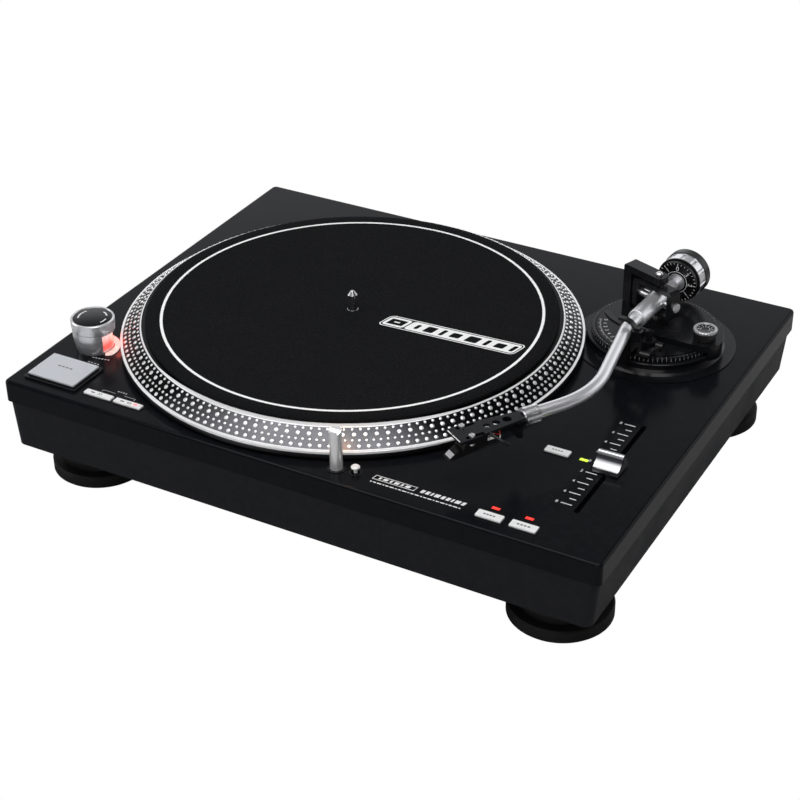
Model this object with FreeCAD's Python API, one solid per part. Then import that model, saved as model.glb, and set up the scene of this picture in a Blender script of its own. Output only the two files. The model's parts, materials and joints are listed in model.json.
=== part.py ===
"""Direct-drive record player with an S-shaped tonearm, as an assembly of separate pieces.

Millimetres, +Z up, +X to the right and +Y to the back, seen from the front.
The origin is on the floor, under the middle of the plinth. Each piece is one STEP file.
"""
import FreeCAD
import Part
import math
import os

V = FreeCAD.Vector
UP = V(0, 0, 1)

# ---- driving dimensions ------------------------------------------------------------------
WIDTH = 450.0            # plinth, left to right
DEPTH = 352.0            # plinth, front to back
DECK = 80.0              # height of the deck's top face above the floor
SHELL_SKIRT = 16.0       # depth of the top cover's skirt
BODY_DEPTH = 50.0        # deck top to the underside of the plinth
WALL = 3.0               # top cover wall
BASE_WALL = 4.0          # base housing wall
SIDE_INSET = 1.9         # base housing's sides, inside the top cover's, at the seam
SIDE_TAPER = 5.2         # the same at the underside

SPINDLE = (-43.5, -5.5)  # platter axis
PLATTER_R = 166.0
PLATTER_LIP_Z = 7.3      # outer rim's top above the deck
PLATTER_TOP_Z = 17.3
PLATTER_RING_R = 148.0   # inner edge of the polished ring
MAT_R = 147.5
MAT_TOP_Z = 19.8
SPINDLE_R = 3.6          # record centre pin
PIN_TOP_Z = 31.5         # where the pin's cone starts
SPINDLE_TIP_Z = 34.5
SHAFT_R = 5.0            # spindle inside its bearing
RUN = 0.05               # radial clearance of a running fit
GAP = 0.3                # clearance between pieces that pass each other

PIVOT = (152.4, 83.2)    # tonearm's vertical axis
ARM_Z = 34.5             # arm axis above the deck
ROOT_HEADING = 4.0       # arm root, degrees from straight ahead towards the platter
TUBE_HEADING = -9.6      # middle run of the tube
HEAD_HEADING = 32.0      # last run of the tube and the headshell
FRAME_HEADING = 20.0     # gimbal plane's normal
TUBE_R = 4.3
TUBE_BORE_R = 3.3
FIRST_BEND = 47.0        # pivot to the first bend, along the arm root
TUBE_END = (135.2, -99.0)
S_BEND_R = 71.0
SHELL_LENGTH = 50.5
SHELL_REAR_WIDTH = 10.0
SHELL_FRONT_WIDTH = 18.4
SHELL_TOP = 2.2          # headshell plate's top above the arm axis
STYLUS_TIP_Z = 20.3      # stylus above the deck at rest, just over the slipmat

STROBE = (-195.5, -109.0)
STROBE_R = 15.2
START_STOP = (-192.8, -148.9)
SPEED_Y = -161.2
FRONT_Y = -162.4
LAMP = (34.0, -160.5)
LAMP_R = 4.2
LAMP_TRAVEL = 27.0
LAMP_BUTTON = (47.4, -159.2)
SLOT_X = 189.0
SLOT_MID_Y = -77.8
SLIDER_Y = -81.0
SLOT_LENGTH = 111.0
SLOT_WIDTH = 3.4
ANTI_SKATE = (191.5, 76.0)
FOOT_X = 181.0
FOOT_Y = 132.0
FOOT_R = 35.0
STUD_R = 4.0
BAY = (20.0, 132.0, 36.0, 60.0)   # rear socket bay: x0, x1, z0, z1 above the floor
BAY_DEPTH = 14.0

# name: (x, y, width, depth, top above deck) of each push button's cap
BUTTONS = {
    "start_stop_button": (START_STOP[0], START_STOP[1], 39.0, 29.6, 3.8),
    "speed_33_button": (-153.6, SPEED_Y, 22.4, 5.4, 1.6),
    "speed_45_button": (-129.1, SPEED_Y, 22.0, 5.4, 1.6),
    "pitch_reset_button": (151.2, SLOT_MID_Y + 0.3, 17.0, 6.4, 1.6),
    "reverse_button": (144.4, FRONT_Y, 17.6, 6.9, 1.6),
    "pitch_range_button": (167.7, FRONT_Y, 17.9, 6.9, 1.6),
}
# x, y, width, depth of each indicator lens in the deck
LENSES = [(143.8, -152.4, 5.2, 2.2), (166.8, -152.3, 5.2, 2.2), (169.8, SLOT_MID_Y, 5.6, 2.4)]

pieces = {}


def add(name, shape):
    """Keep a finished piece under its node name."""
    pieces[name] = shape


def disc(r, z0, z1, at=(0.0, 0.0)):
    """Upright cylinder between two heights above the deck."""
    return Part.makeCylinder(r, z1 - z0, V(at[0], at[1], DECK + z0))


def ring(r0, r1, z0, z1, at=(0.0, 0.0)):
    """Upright tube."""
    return disc(r1, z0, z1, at).cut(disc(r0, z0 - 1, z1 + 1, at))


def block(x0, x1, y0, y1, z0, z1):
    """Box between heights above the deck."""
    return Part.makeBox(x1 - x0, y1 - y0, z1 - z0, V(x0, y0, DECK + z0))


def upright_edges(shape):
    """Vertical straight edges of a shape."""
    found = []
    for edge in shape.Edges:
        a, b = edge.Vertexes[0].Point, edge.Vertexes[-1].Point
        if math.hypot(a.x - b.x, a.y - b.y) < 1e-6 and abs(a.z - b.z) > 0.5:
            found.append(edge)
    return found


def rounded(x0, x1, y0, y1, z0, z1, corner):
    """Box with rounded upright corners."""
    shape = block(x0, x1, y0, y1, z0, z1)
    return shape.makeFillet(corner, upright_edges(shape))


def pad(at, width, depth, z0, z1, corner=0.8):
    """Rounded block centred on a point of the deck."""
    half_w, half_d = width / 2, depth / 2
    return rounded(at[0] - half_w, at[0] + half_w, at[1] - half_d, at[1] + half_d, z0, z1, corner)


def turned(profile, at=(0.0, 0.0)):
    """Solid of revolution from (radius, height above deck) points, about an upright axis."""
    points = [V(at[0] + r, at[1], DECK + z) for r, z in profile]
    face = Part.Face(Part.makePolygon(points + [points[0]]))
    return face.revolve(V(at[0], at[1], 0), UP, 360)


def along(r, start, end):
    """Cylinder from one point to another."""
    way = end - start
    return Part.makeCylinder(r, way.Length, start, way)


def heading(degrees):
    """Unit vector in plan: 0 is straight ahead (-Y), positive turns towards the platter."""
    a = math.radians(degrees)
    return V(-math.sin(a), -math.cos(a), 0)


def arm_at(distance, angle=ROOT_HEADING, z=ARM_Z):
    """Point on the arm's level, measured from the pivot along a heading."""
    return V(PIVOT[0], PIVOT[1], DECK + z) + heading(angle) * distance


def in_frame(shape, angle, origin):
    """Place a shape drawn with +X across, -Y ahead and Z up so that -Y meets a heading."""
    placed = shape.copy()
    placed.rotate(V(0, 0, 0), UP, -angle)
    placed.translate(origin)
    return placed


def fuse(*shapes):
    """One solid from several, with seams on shared faces removed."""
    whole = shapes[0]
    for shape in shapes[1:]:
        whole = whole.fuse(shape)
    return whole.removeSplitter()


# ---- plinth ------------------------------------------------------------------------------
WELL_R = 70.0
BOARD_POSTS = [(-150, -148), (-60, -156), (90, -156), (200, -150), (136, -95), (172, -100)]


def frame_margin(width):
    """How much wider than its cap a button's deck opening is."""
    return 2.2 if width > 30 else 1.6


def make_top_cover():
    """Top cover: deck, skirt and the motor well, with an opening for each control."""
    half_w, half_d = WIDTH / 2, DEPTH / 2
    outer = rounded(-half_w, half_w, -half_d, half_d, -SHELL_SKIRT, 0, 4.0)
    rim = [e for e in outer.Edges if e.BoundBox.ZMin > DECK - 0.01]
    outer = outer.makeFillet(2.2, rim)
    inner = rounded(-half_w + WALL, half_w - WALL, -half_d + WALL, half_d - WALL,
                    -SHELL_SKIRT - 1, -WALL, 2.0)
    cover = outer.cut(inner)
    cover = cover.cut(disc(WELL_R, -WALL - 1, 1, SPINDLE))
    well = turned([(11.05, -19), (WELL_R + 3, -19), (WELL_R + 3, -WALL), (WELL_R, -WALL),
                   (WELL_R, -16), (22, -16), (22, -14), (13.5, -14), (13.5, -16), (11.05, -16)], SPINDLE)
    cover = fuse(cover, well, *[disc(3.0, -12.4, -WALL, at) for at in BOARD_POSTS])
    openings = [disc(11.0, -5, 1, STROBE), disc(43.0, -5, 1, PIVOT), disc(6.2, -5, 1, LAMP),
                disc(4.4, -5, 1, LAMP_BUTTON)]
    for x, y, width, depth, _ in BUTTONS.values():
        margin = frame_margin(width)
        openings.append(pad((x, y), width + margin, depth + margin, -5, 1))
    for x, y, width, depth in LENSES:
        openings.append(block(x - width / 2, x + width / 2, y - depth / 2, y + depth / 2, -5, 1))
    openings.append(pad((SLOT_X, SLOT_MID_Y), SLOT_WIDTH, SLOT_LENGTH, -5, 1, 1.6))
    for opening in openings:
        cover = cover.cut(opening)
    add("top_cover", cover)


def tapered_prism(inset_x, inset_y, z_top, z_bottom, taper):
    """Four-sided body whose left and right faces draw in towards the underside."""
    wires = []
    for z, extra in ((z_top, 0.0), (z_bottom, taper)):
        x, y = WIDTH / 2 - inset_x - extra, DEPTH / 2 - inset_y
        corners = [V(-x, -y, DECK + z), V(x, -y, DECK + z), V(x, y, DECK + z), V(-x, y, DECK + z)]
        wires.append(Part.makePolygon(corners + [corners[0]]))
    return Part.makeLoft(wires, True, True)


SCREW_SPOTS = [(sx * 155.0, sy * 163.0) for sx in (-1, 1) for sy in (-1, 1)]
SCREW_SPOTS += [(sx * 206.0, sy * 60.0) for sx in (-1, 1) for sy in (-1, 1)]


def foot_spots():
    """Plan position of each foot by its name."""
    return {"front_left": (-FOOT_X, -FOOT_Y), "front_right": (FOOT_X, -FOOT_Y),
            "rear_left": (-FOOT_X, FOOT_Y), "rear_right": (FOOT_X, FOOT_Y)}


def make_base_housing():
    """Lower body: open frame with screw posts, foot bosses and the rear socket bay."""
    taper = SIDE_TAPER - SIDE_INSET
    top, bottom = -SHELL_SKIRT, -BODY_DEPTH
    outer = tapered_prism(SIDE_INSET, 0.4, top, bottom, taper)
    corners = [e for e in outer.Edges if abs(e.Vertexes[0].Z - e.Vertexes[-1].Z) > 5]
    outer = outer.makeFillet(6.0, corners)
    inner = tapered_prism(SIDE_INSET + BASE_WALL, 0.4 + BASE_WALL, top + 1, bottom - 1, taper)
    body = outer.cut(inner)
    parts = [body]
    for x, y in SCREW_SPOTS:
        post = disc(5.0, -46.0, -20.0, (x, y))
        web_x = math.copysign(215.0, x) if abs(x) > 200 else x
        web_y = math.copysign(172.5, y) if abs(y) > 150 else y
        web = block(min(x, web_x) - 3, max(x, web_x) + 3, min(y, web_y) - 3, max(y, web_y) + 3, -46, -20)
        parts.append(post.fuse(web))
    for x, y in foot_spots().values():
        wall_y = math.copysign(172.5, y)
        web = block(x - 4, x + 4, min(y, wall_y), max(y, wall_y), -46, -22)
        parts.append(disc(12.0, -46.0, -22.0, (x, y)).fuse(web))
    x0, x1, z0, z1 = BAY[0], BAY[1], BAY[2] - DECK, BAY[3] - DECK
    back = DEPTH / 2 - 0.4
    parts.append(block(x0 - 3, x1 + 3, back - BAY_DEPTH - 3, back - 1, z0 - 2, z1 + 2))
    body = fuse(*parts)
    body = body.cut(block(x0, x1, back - BAY_DEPTH, back + 5, z0, z1))
    for x, y in SCREW_SPOTS:
        body = body.cut(disc(1.8, -47, -30, (x, y)))
    for x, y in foot_spots().values():
        body = body.cut(disc(STUD_R + RUN, -47, -21, (x, y)))
    for x, r in ((38.0, 3.0), (56.0, 3.0), (76.0, 2.0)):
        body = body.cut(along(r, V(x, back - 30, 45), V(x, back, 45)))
    body = body.cut(Part.makeBox(20.4, 12, 12.4, V(99.8, back - 24, 38.8)))
    add("base_housing", body)


def make_bottom_cover():
    """Flat underside panel inside the base housing, and its screws."""
    x = WIDTH / 2 - SIDE_TAPER - BASE_WALL - 0.4
    y = DEPTH / 2 - 0.4 - BASE_WALL - 0.3
    plate = rounded(-x, x, -y, y, -50, -46, 3.0)
    screws = []
    for at in SCREW_SPOTS:
        plate = plate.cut(disc(2.1, -51, -45, at)).cut(disc(4.4, -51, -48.4, at))
        head = disc(4.0, -50.0, -48.4, at).cut(block(at[0] - 2.6, at[0] + 2.6, at[1] - 0.5, at[1] + 0.5, -51, -49.3))
        screws.append(head.fuse(disc(1.8, -48.4, -34.0, at)).removeSplitter())
    for at in foot_spots().values():
        plate = plate.cut(disc(7.0, -51, -45, at))
    add("bottom_cover", plate)
    add("cover_screws", Part.makeCompound(screws))


def make_feet():
    """Four adjustable feet, each with its moulded-in threaded stud."""
    profile = [(0, -80), (33.5, -80), (35.0, -78.6), (35.0, -71.2), (34.0, -70.2), (28.0, -69.6),
               (28.0, -63.0), (31.5, -62.0), (31.5, -53.0), (30.0, -51.6), (6.0, -51.6), (6.0, -51.2),
               (STUD_R, -51.2), (STUD_R, -26.0), (STUD_R - 0.8, -25.2), (0, -25.2)]
    for name, at in foot_spots().items():
        add("foot_" + name, turned(profile, at))


def make_rear_sockets():
    """Phono sockets, earth post and two-pin mains inlet in the rear bay."""
    back = DEPTH / 2 - 0.4 - BAY_DEPTH
    sockets = []
    for x in (38.0, 56.0):
        barrel = along(4.15, V(x, back, 45), V(x, back + 10, 45)).cut(
            along(1.7, V(x, back + 2, 45), V(x, back + 11, 45)))
        nut = along(5.6, V(x, back, 45), V(x, back + 2.2, 45))
        tail = along(2.95, V(x, back - 8, 45), V(x, back, 45))
        sockets.append(fuse(barrel, nut.cut(along(4.1, V(x, back - 1, 45), V(x, back + 3, 45))), tail))
    add("phono_sockets", Part.makeCompound(sockets))
    post = along(1.95, V(76, back - 8, 45), V(76, back + 11, 45))
    thumb = along(4.6, V(76, back + 3, 45), V(76, back + 10, 45))
    for step in range(16):
        a = math.radians(22.5 * step)
        centre = V(76 + 4.7 * math.cos(a), back + 2, 45 + 4.7 * math.sin(a))
        thumb = thumb.cut(along(0.5, centre, centre + V(0, 9, 0)))
    washer = along(3.6, V(76, back, 45), V(76, back + 1, 45))
    add("earth_post", fuse(post, thumb, washer))
    body = Part.makeBox(20, 12, 12, V(100, back - 10, 39))
    flange = Part.makeBox(24, 1.6, 16, V(98, back, 37))
    socket = Part.makeBox(17, 12, 9, V(101.5, back - 8.4, 40.5))
    inlet = fuse(body, flange).cut(socket)
    for x in (105.7, 114.3):
        inlet = inlet.fuse(along(1.1, V(x, back - 8.6, 45), V(x, back + 0.4, 45)))
    add("mains_inlet", inlet.removeSplitter())


# ---- motor and electronics ---------------------------------------------------------------
def make_motor():
    """Direct-drive motor: bearing, board, coils and the magnet under the platter."""
    bush = turned([(0, -42), (11, -42), (11, -22), (20, -22), (20, -19), (11, -19), (11, -9),
                   (SHAFT_R + RUN, -9), (SHAFT_R + RUN, -39.8), (0, -39.8)], SPINDLE)
    add("spindle_bearing", bush)
    add("motor_board", ring(13.5, 62.0, -14.0, -12.4, SPINDLE))
    coils = []
    for step in range(12):
        a = math.radians(30 * step)
        at = (SPINDLE[0] + 41 * math.cos(a), SPINDLE[1] + 41 * math.sin(a))
        coils.append(ring(3.2, 8.6, -12.4, -6.4, at))
    add("motor_coils", Part.makeCompound(coils))
    add("rotor_magnet", ring(27.0, 58.0, -4.6, 2.5, SPINDLE))


def make_platter():
    """Cast platter, spindle and slipmat."""
    hub_bore = SHAFT_R
    platter = turned([(hub_bore, 1.5), (24, 1.5), (26, 2.5), (60, 2.5), (62, 12.6), (148, 12.6), (157, 8.0),
                      (160.5, 1.5), (165.4, 1.5), (PLATTER_R, 2.1), (PLATTER_R, PLATTER_LIP_Z - 0.3),
                      (PLATTER_R - 0.3, PLATTER_LIP_Z), (164.3, PLATTER_LIP_Z + 0.2), (151.2, 17.2),
                      (151.0, 17.5), (PLATTER_RING_R, 17.5), (PLATTER_RING_R, PLATTER_TOP_Z),
                      (hub_bore, PLATTER_TOP_Z)], SPINDLE)
    add("platter", platter)
    spindle = turned([(0, -39.5), (SHAFT_R - 0.6, -39.5), (SHAFT_R, -38.9), (SHAFT_R, MAT_TOP_Z),
                      (SPINDLE_R, MAT_TOP_Z),
                      (SPINDLE_R, PIN_TOP_Z), (1.6, SPINDLE_TIP_Z - 0.4), (0.9, SPINDLE_TIP_Z),
                      (0, SPINDLE_TIP_Z)], SPINDLE)
    add("spindle", spindle)
    add("slipmat", ring(5.4, MAT_R, PLATTER_TOP_Z, MAT_TOP_Z, SPINDLE))


def make_electronics():
    """Control board, mains transformer and the pitch fader."""
    board = block(-212, 212, -170.5, -141.0, -14, -12.4)
    board = board.fuse(block(128, 178, -141.0, -60, -14, -12.4)).removeSplitter()
    for at, r in ((LAMP, 6.0), (STROBE, 12.0)):
        board = board.cut(disc(r, -15, -11, at))
    add("control_board", board)
    core = block(-156, -104, 84, 124, -46, -40).fuse(block(-152, -108, 88, 120, -40, -21))
    core = core.fuse(block(-144, -116, 80, 128, -38, -23))
    add("mains_transformer", core.removeSplitter())
    x0, x1 = SLOT_X - 8, SLOT_X + 8
    y0, y1 = SLOT_MID_Y - 63, SLOT_MID_Y + 63
    fader = block(x0, x1, y0, y1, -22, -WALL)
    groove = block(SLOT_X - 2.0, SLOT_X + 2.0, SLOT_MID_Y - 56, SLOT_MID_Y + 56, -18, 0)
    add("pitch_fader_track", fader.cut(groove))


# ---- controls ----------------------------------------------------------------------------
def make_buttons():
    """Push buttons, with a stem under each cap, and the black frames round them."""
    frames = []
    for name, (x, y, width, depth, top) in BUTTONS.items():
        big = name == "start_stop_button"
        cap = pad((x, y), width, depth, -4.0, top, 0.7)
        lip = [e for e in cap.Edges if e.BoundBox.ZMin > DECK + top - 0.01]
        cap = cap.makeFillet(0.35, lip)
        stem = pad((x, y), min(width - 2, 8.0), min(depth - 1.4, 8.0), -10.0, -4.0, 0.5)
        add(name, fuse(cap, stem))
        rise = 1.5 if big else 0.35
        margin = frame_margin(width)
        frame = pad((x, y), width + margin, depth + margin, -3.0, rise, 0.8)
        if big:
            frame = frame.fuse(pad((x, y), width + 5.0, depth + 5.0, 0.0, rise, 2.0)).removeSplitter()
        frames.append(frame.cut(pad((x, y), width + 0.6, depth + 0.6, -4, rise + 1, 0.7)))
    frames.append(ring(LAMP_R + RUN, 6.2, -3.0, 0.5, LAMP))
    frames.append(ring(3.0, 4.4, -3.0, 0.4, LAMP_BUTTON))
    add("control_frames", Part.makeCompound(frames))
    cap = turned([(0, -7.0), (2.4, -7.0), (2.4, -4.5), (1.3, -4.5), (1.3, 3.4), (2.9, 3.9), (3.0, 4.6),
                  (2.1, 5.5), (0, 5.9)], LAMP_BUTTON)
    add("lamp_release_button", cap)
    lenses = []
    for x, y, width, depth in LENSES:
        lenses.append(block(x - width / 2, x + width / 2, y - depth / 2, y + depth / 2, -3.0, 0.25))
    add("indicator_lenses", Part.makeCompound(lenses))


def make_strobe():
    """Strobe tower with its lit window, and the turning power knob on top."""
    tower = turned([(5.0, -8), (10.8, -8), (10.8, 0), (12.6, 0), (13.6, 3.0), (14.5, 7.0), (15.0, 11.5),
                    (STROBE_R, 16.6), (5.0, 16.6)], STROBE)
    tower = tower.cut(disc(7.6, -9, 15.0, STROBE))
    window_way = math.degrees(math.atan2(SPINDLE[1] - STROBE[1], SPINDLE[0] - STROBE[0]))
    notch = Part.makeBox(12.0, 32.0, 12.6, V(6.4, -16.0, 2.9))
    notch.rotate(V(0, 0, 0), UP, window_way)
    notch.translate(V(STROBE[0], STROBE[1], DECK))
    add("strobe_tower", tower.cut(notch))
    pane = Part.makeBox(10.0, 32.0, 12.6, V(6.4, -16.0, 2.9)).common(Part.makeCylinder(12.9, 20))
    lip = Part.makeBox(12.0, 26.0, 1.5, V(7.5, -13.0, 0.1)).common(Part.makeCylinder(17.5, 5))
    lip = lip.cut(Part.makeCylinder(13.9, 5))
    lit = [pane, lip]
    for shape in lit:
        shape.rotate(V(0, 0, 0), UP, window_way)
        shape.translate(V(STROBE[0], STROBE[1], DECK))
    add("strobe_window", Part.makeCompound(lit))
    knob = turned([(0, 16.9), (STROBE_R, 16.9), (15.5, 20.0), (15.5, 24.2), (15.0, 24.8), (14.2, 24.8),
                   (13.9, 24.3), (0, 24.3)], STROBE)
    knob = knob.fuse(disc(5.0 - RUN, 4.0, 16.9, STROBE)).removeSplitter()
    add("power_knob", knob)


def make_target_lamp():
    """Pop-up target lamp: upright barrel with a slanted head notched towards the platter."""
    barrel = disc(LAMP_R, -11.5, 29.5, LAMP)
    foot = disc(LAMP_R + 1.4, -11.5, -9.5, LAMP)
    lamp = barrel.fuse(foot).removeSplitter()
    wedge = Part.makeBox(12, 12, 6, V(-6, 0, 0))
    wedge.rotate(V(0, 0, 0), V(1, 0, 0), 28)
    wedge.translate(V(LAMP[0], LAMP[1] - 3.0, DECK + 27.6))
    lamp = lamp.cut(wedge.common(block(LAMP[0] - 8, LAMP[0] + 8, LAMP[1] - 3.0, LAMP[1] + 8, 20, 40)))
    notch = Part.makeBox(3.4, 4.0, 3.0, V(LAMP[0] - 1.7, LAMP[1] + 1.6, DECK + 23.6))
    add("target_lamp", lamp.cut(notch))


def make_pitch_slider():
    """Pitch slider: finger cap with a concave front and a tall crest, on a stem through the slot."""
    dip = Part.Arc(V(0, -7.0, 4.2), V(0, -2.6, 6.4), V(0, 1.5, 11.7)).toShape()
    crest = Part.Arc(V(0, 1.5, 11.7), V(0, 2.8, 12.3), V(0, 4.1, 11.9)).toShape()
    back = [V(0, 4.1, 11.9), V(0, 8.4, 3.8), V(0, 9.2, 1.2), V(0, -7.0, 1.2), V(0, -7.0, 4.2)]
    edges = [dip, crest]
    for a, b in zip(back, back[1:]):
        edges.append(Part.makeLine(a, b))
    cap = Part.Face(Part.Wire(edges)).extrude(V(17.4, 0, 0))
    cap.translate(V(SLOT_X - 9.0, SLIDER_Y, DECK))
    stem = block(SLOT_X - 1.2, SLOT_X + 1.2, SLIDER_Y - 4, SLIDER_Y + 4, -12, 1.2)
    add("pitch_slider", fuse(cap, stem))


# ---- tonearm base ------------------------------------------------------------------------
PLATE_LOW = 10.0         # arm base plate's disc, underside and top above the deck
PLATE_TOP = 13.3
BASE_TOP = 17.5          # top of the raised web on it
CUE_HEADING = -14.0
CUE_R = 36.5
HINGE_X = 11.4           # arm clip's hinge, right of the arm root
HINGE_Z = ARM_Z + 1.6


def make_arm_flange():
    """Fixed flange on the deck with the guide sleeve for the arm base."""
    flange = turned([(16.05, 0), (57.2, 0), (57.2, 0.8), (49.2, 0.8), (47.6, 2.4), (46.8, 4.6), (46.6, 8.2),
                     (42.6, 8.2), (42.6, 3.0), (20.0, 3.0), (20.0, 7.0), (16.05, 7.0)], PIVOT)
    sleeve = ring(16.05, 20.0, -20.0, 0.0, PIVOT)
    rim = ring(40.0, 42.8, -3.0, 0.0, PIVOT)
    add("arm_flange", fuse(flange, sleeve, rim))


def make_height_ring():
    """Height-adjusting ring with a finely grooved edge."""
    band = turned([(42.2, 8.5), (48.3, 8.5), (48.3, 9.2), (47.8, 9.7), (45.0, 9.7), (45.0, 12.5),
                   (44.6, 12.9), (42.2, 12.9)], PIVOT)
    for step in range(90):
        a = math.radians(4 * step)
        at = (PIVOT[0] + 45.3 * math.cos(a), PIVOT[1] + 45.3 * math.sin(a))
        band = band.cut(disc(0.75, 9.7, 14.0, at))
    add("height_ring", band)


def make_arm_base_plate():
    """Arm base plate on its sliding column, with bosses for the anti-skate dial and cue lift."""
    column = disc(16.0, -18.0, PLATE_LOW, PIVOT)
    disc_plate = disc(41.8, PLATE_LOW, PLATE_TOP, PIVOT)
    to_dial = V(ANTI_SKATE[0] - PIVOT[0], ANTI_SKATE[1] - PIVOT[1], 0)
    across = V(-to_dial.y, to_dial.x, 0)
    across.normalize()
    near, far = V(PIVOT[0], PIVOT[1], 0), V(ANTI_SKATE[0], ANTI_SKATE[1], 0)
    near_r, far_r = 19.0, 12.5
    lean = math.asin((near_r - far_r) / to_dial.Length)
    ahead = V(to_dial.x, to_dial.y, 0)
    ahead.normalize()
    points = []
    for centre, r, side in ((near, near_r, 1), (far, far_r, 1), (far, far_r, -1), (near, near_r, -1)):
        out = across * (side * math.cos(lean)) + ahead * math.sin(lean)
        points.append(centre + out * r + V(0, 0, DECK + PLATE_TOP))
    web = Part.Face(Part.makePolygon(points + [points[0]])).extrude(V(0, 0, BASE_TOP - PLATE_TOP))
    arm = fuse(web, disc(near_r, PLATE_TOP, BASE_TOP, PIVOT), disc(far_r, PLATE_TOP, BASE_TOP, ANTI_SKATE))
    boss_skirt = disc(far_r, 6.5, PLATE_TOP, ANTI_SKATE).cut(disc(48.8, 5, 16, PIVOT))
    cue = arm_at(CUE_R, CUE_HEADING, 0)
    cue_boss = disc(5.4, PLATE_LOW, 22.5, (cue.x, cue.y))
    plate = fuse(column, disc_plate, arm, boss_skirt, cue_boss)
    plate = plate.cut(disc(2.5 + RUN, 0, 30, (cue.x, cue.y)))
    plate = plate.cut(disc(3.0 + RUN, PLATE_TOP, 30, ANTI_SKATE))
    plate = plate.cut(disc(11.0, -19, 7.0, PIVOT))
    hinge = lever_axis()
    plate = plate.cut(along(1.5 + RUN, hinge - V(3.0, 0, 0), hinge + V(9.0, 0, 0)))
    add("arm_base_plate", plate)
    dial = turned([(0, PLATE_TOP + 0.2), (3.0, PLATE_TOP + 0.2), (3.0, BASE_TOP + GAP), (7.8, BASE_TOP + GAP), (7.8, 21.2),
                   (8.4, 21.8), (8.4, 25.0), (7.9, 25.5), (6.6, 25.5), (6.2, 24.7), (0, 24.7)], ANTI_SKATE)
    for step in range(24):
        a = math.radians(15 * step)
        at = (ANTI_SKATE[0] + 8.6 * math.cos(a), ANTI_SKATE[1] + 8.6 * math.sin(a))
        dial = dial.cut(disc(0.55, BASE_TOP + 3.0, 27.0, at))
    add("anti_skate_dial", dial)


def lever_axis():
    """Where the cue lever's pin enters the cue boss."""
    cue = arm_at(CUE_R, CUE_HEADING, 0)
    return V(cue.x + 4.0, cue.y, DECK + 19.0)


def make_arm_yoke():
    """C-shaped yoke that stands on the base plate and holds the vertical pivots."""
    post = Part.makeBox(7.0, 10.6, 54.0 - PLATE_TOP, V(-28.0, -5.3, PLATE_TOP))
    top = Part.makeBox(34.0, 10.6, 5.2, V(-28.0, -5.3, 48.8))
    foot = Part.makeBox(35.0, 10.6, 3.5, V(-28.0, -5.3, BASE_TOP))
    yoke = fuse(post, top, foot)
    outer = [e for e in yoke.Edges if e.Length > 10 and e.BoundBox.XMax < -27.9 and e.BoundBox.ZMin > 50]
    end = [e for e in yoke.Edges if e.BoundBox.XMin > 5.9 and e.BoundBox.ZMin > 48 and e.BoundBox.ZMax > 53
           and e.BoundBox.YLength < 0.1 and e.BoundBox.ZLength > 4]
    yoke = yoke.makeFillet(1.6, outer)
    yoke = yoke.makeFillet(3.4, end)
    yoke = yoke.cut(Part.makeCylinder(2.5, 60, V(0, 0, 47)))
    yoke = yoke.cut(Part.makeCylinder(2.5, 4.0, V(0, 0, BASE_TOP + 0.7)))
    add("arm_yoke", in_frame(yoke, FRAME_HEADING, V(PIVOT[0], PIVOT[1], DECK)))
    upper = turned([(0, 45.6), (0.7, 46.4), (2.5, 48.6), (2.5, 55.2), (1.9, 55.8), (0, 55.8)], PIVOT)
    upper = upper.cut(block(PIVOT[0] - 3, PIVOT[0] + 3, PIVOT[1] - 0.4, PIVOT[1] + 0.4, 55.0, 57.0))
    lower = turned([(0, BASE_TOP + 0.7), (2.5, BASE_TOP + 0.7), (2.5, 22.8), (0.9, 24.2), (0.7, 25.0),
                    (0, 25.3)], PIVOT)
    add("vertical_pivots", Part.makeCompound([upper, lower]))


def make_gimbal():
    """Gimbal ring that turns on the vertical pivots and carries the side pivots."""
    outer = Part.makeBox(36.2, 9.0, 22.2, V(-19.8, -4.5, 24.2))
    inner = Part.makeBox(27.8, 11.0, 16.0, V(-15.8, -5.5, ARM_Z - 7.7))
    ring_body = outer.cut(inner)
    corners = [e for e in outer.Edges if e.BoundBox.YLength > 8]
    rounded_outer = outer.makeFillet(3.2, corners)
    ring_body = ring_body.common(rounded_outer)
    ring_body = ring_body.cut(Part.makeCone(0.75, 2.6, 2.2, V(0, 0, 44.9)))
    ring_body = ring_body.cut(Part.makeCylinder(1.3, 2.1, V(0, 0, 23.7)))
    for x in (-20.5, 11.0):
        ring_body = ring_body.cut(Part.makeCylinder(2.0, 6.5, V(x, 0, ARM_Z), V(1, 0, 0)))
    place = V(PIVOT[0], PIVOT[1], DECK)
    add("gimbal_ring", in_frame(ring_body, FRAME_HEADING, place))
    left = Part.makeCylinder(2.0, 4.0, V(-19.8, 0, ARM_Z), V(1, 0, 0))
    left = left.fuse(Part.makeCylinder(2.9, 7.4, V(-15.8, 0, ARM_Z), V(1, 0, 0)))
    left = left.fuse(Part.makeCylinder(1.2, 2.8, V(-8.4, 0, ARM_Z), V(1, 0, 0)))
    right = Part.makeCylinder(2.0, 4.4, V(12.0, 0, ARM_Z), V(1, 0, 0))
    right = right.fuse(Part.makeCylinder(2.6, 3.8, V(8.2, 0, ARM_Z), V(1, 0, 0)))
    right = right.fuse(Part.makeCylinder(1.2, 2.6, V(5.6, 0, ARM_Z), V(1, 0, 0)))
    head = Part.makeCylinder(3.4, 1.6, V(16.4, 0, ARM_Z), V(1, 0, 0))
    head = head.cut(Part.makeBox(1.2, 8.0, 0.9, V(17.4, -4.0, ARM_Z - 0.45)))
    right = right.fuse(head)
    pins = [shape.removeSplitter() for shape in (left, right)]
    add("side_pivots", in_frame(Part.makeCompound(pins), FRAME_HEADING, place))


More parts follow.
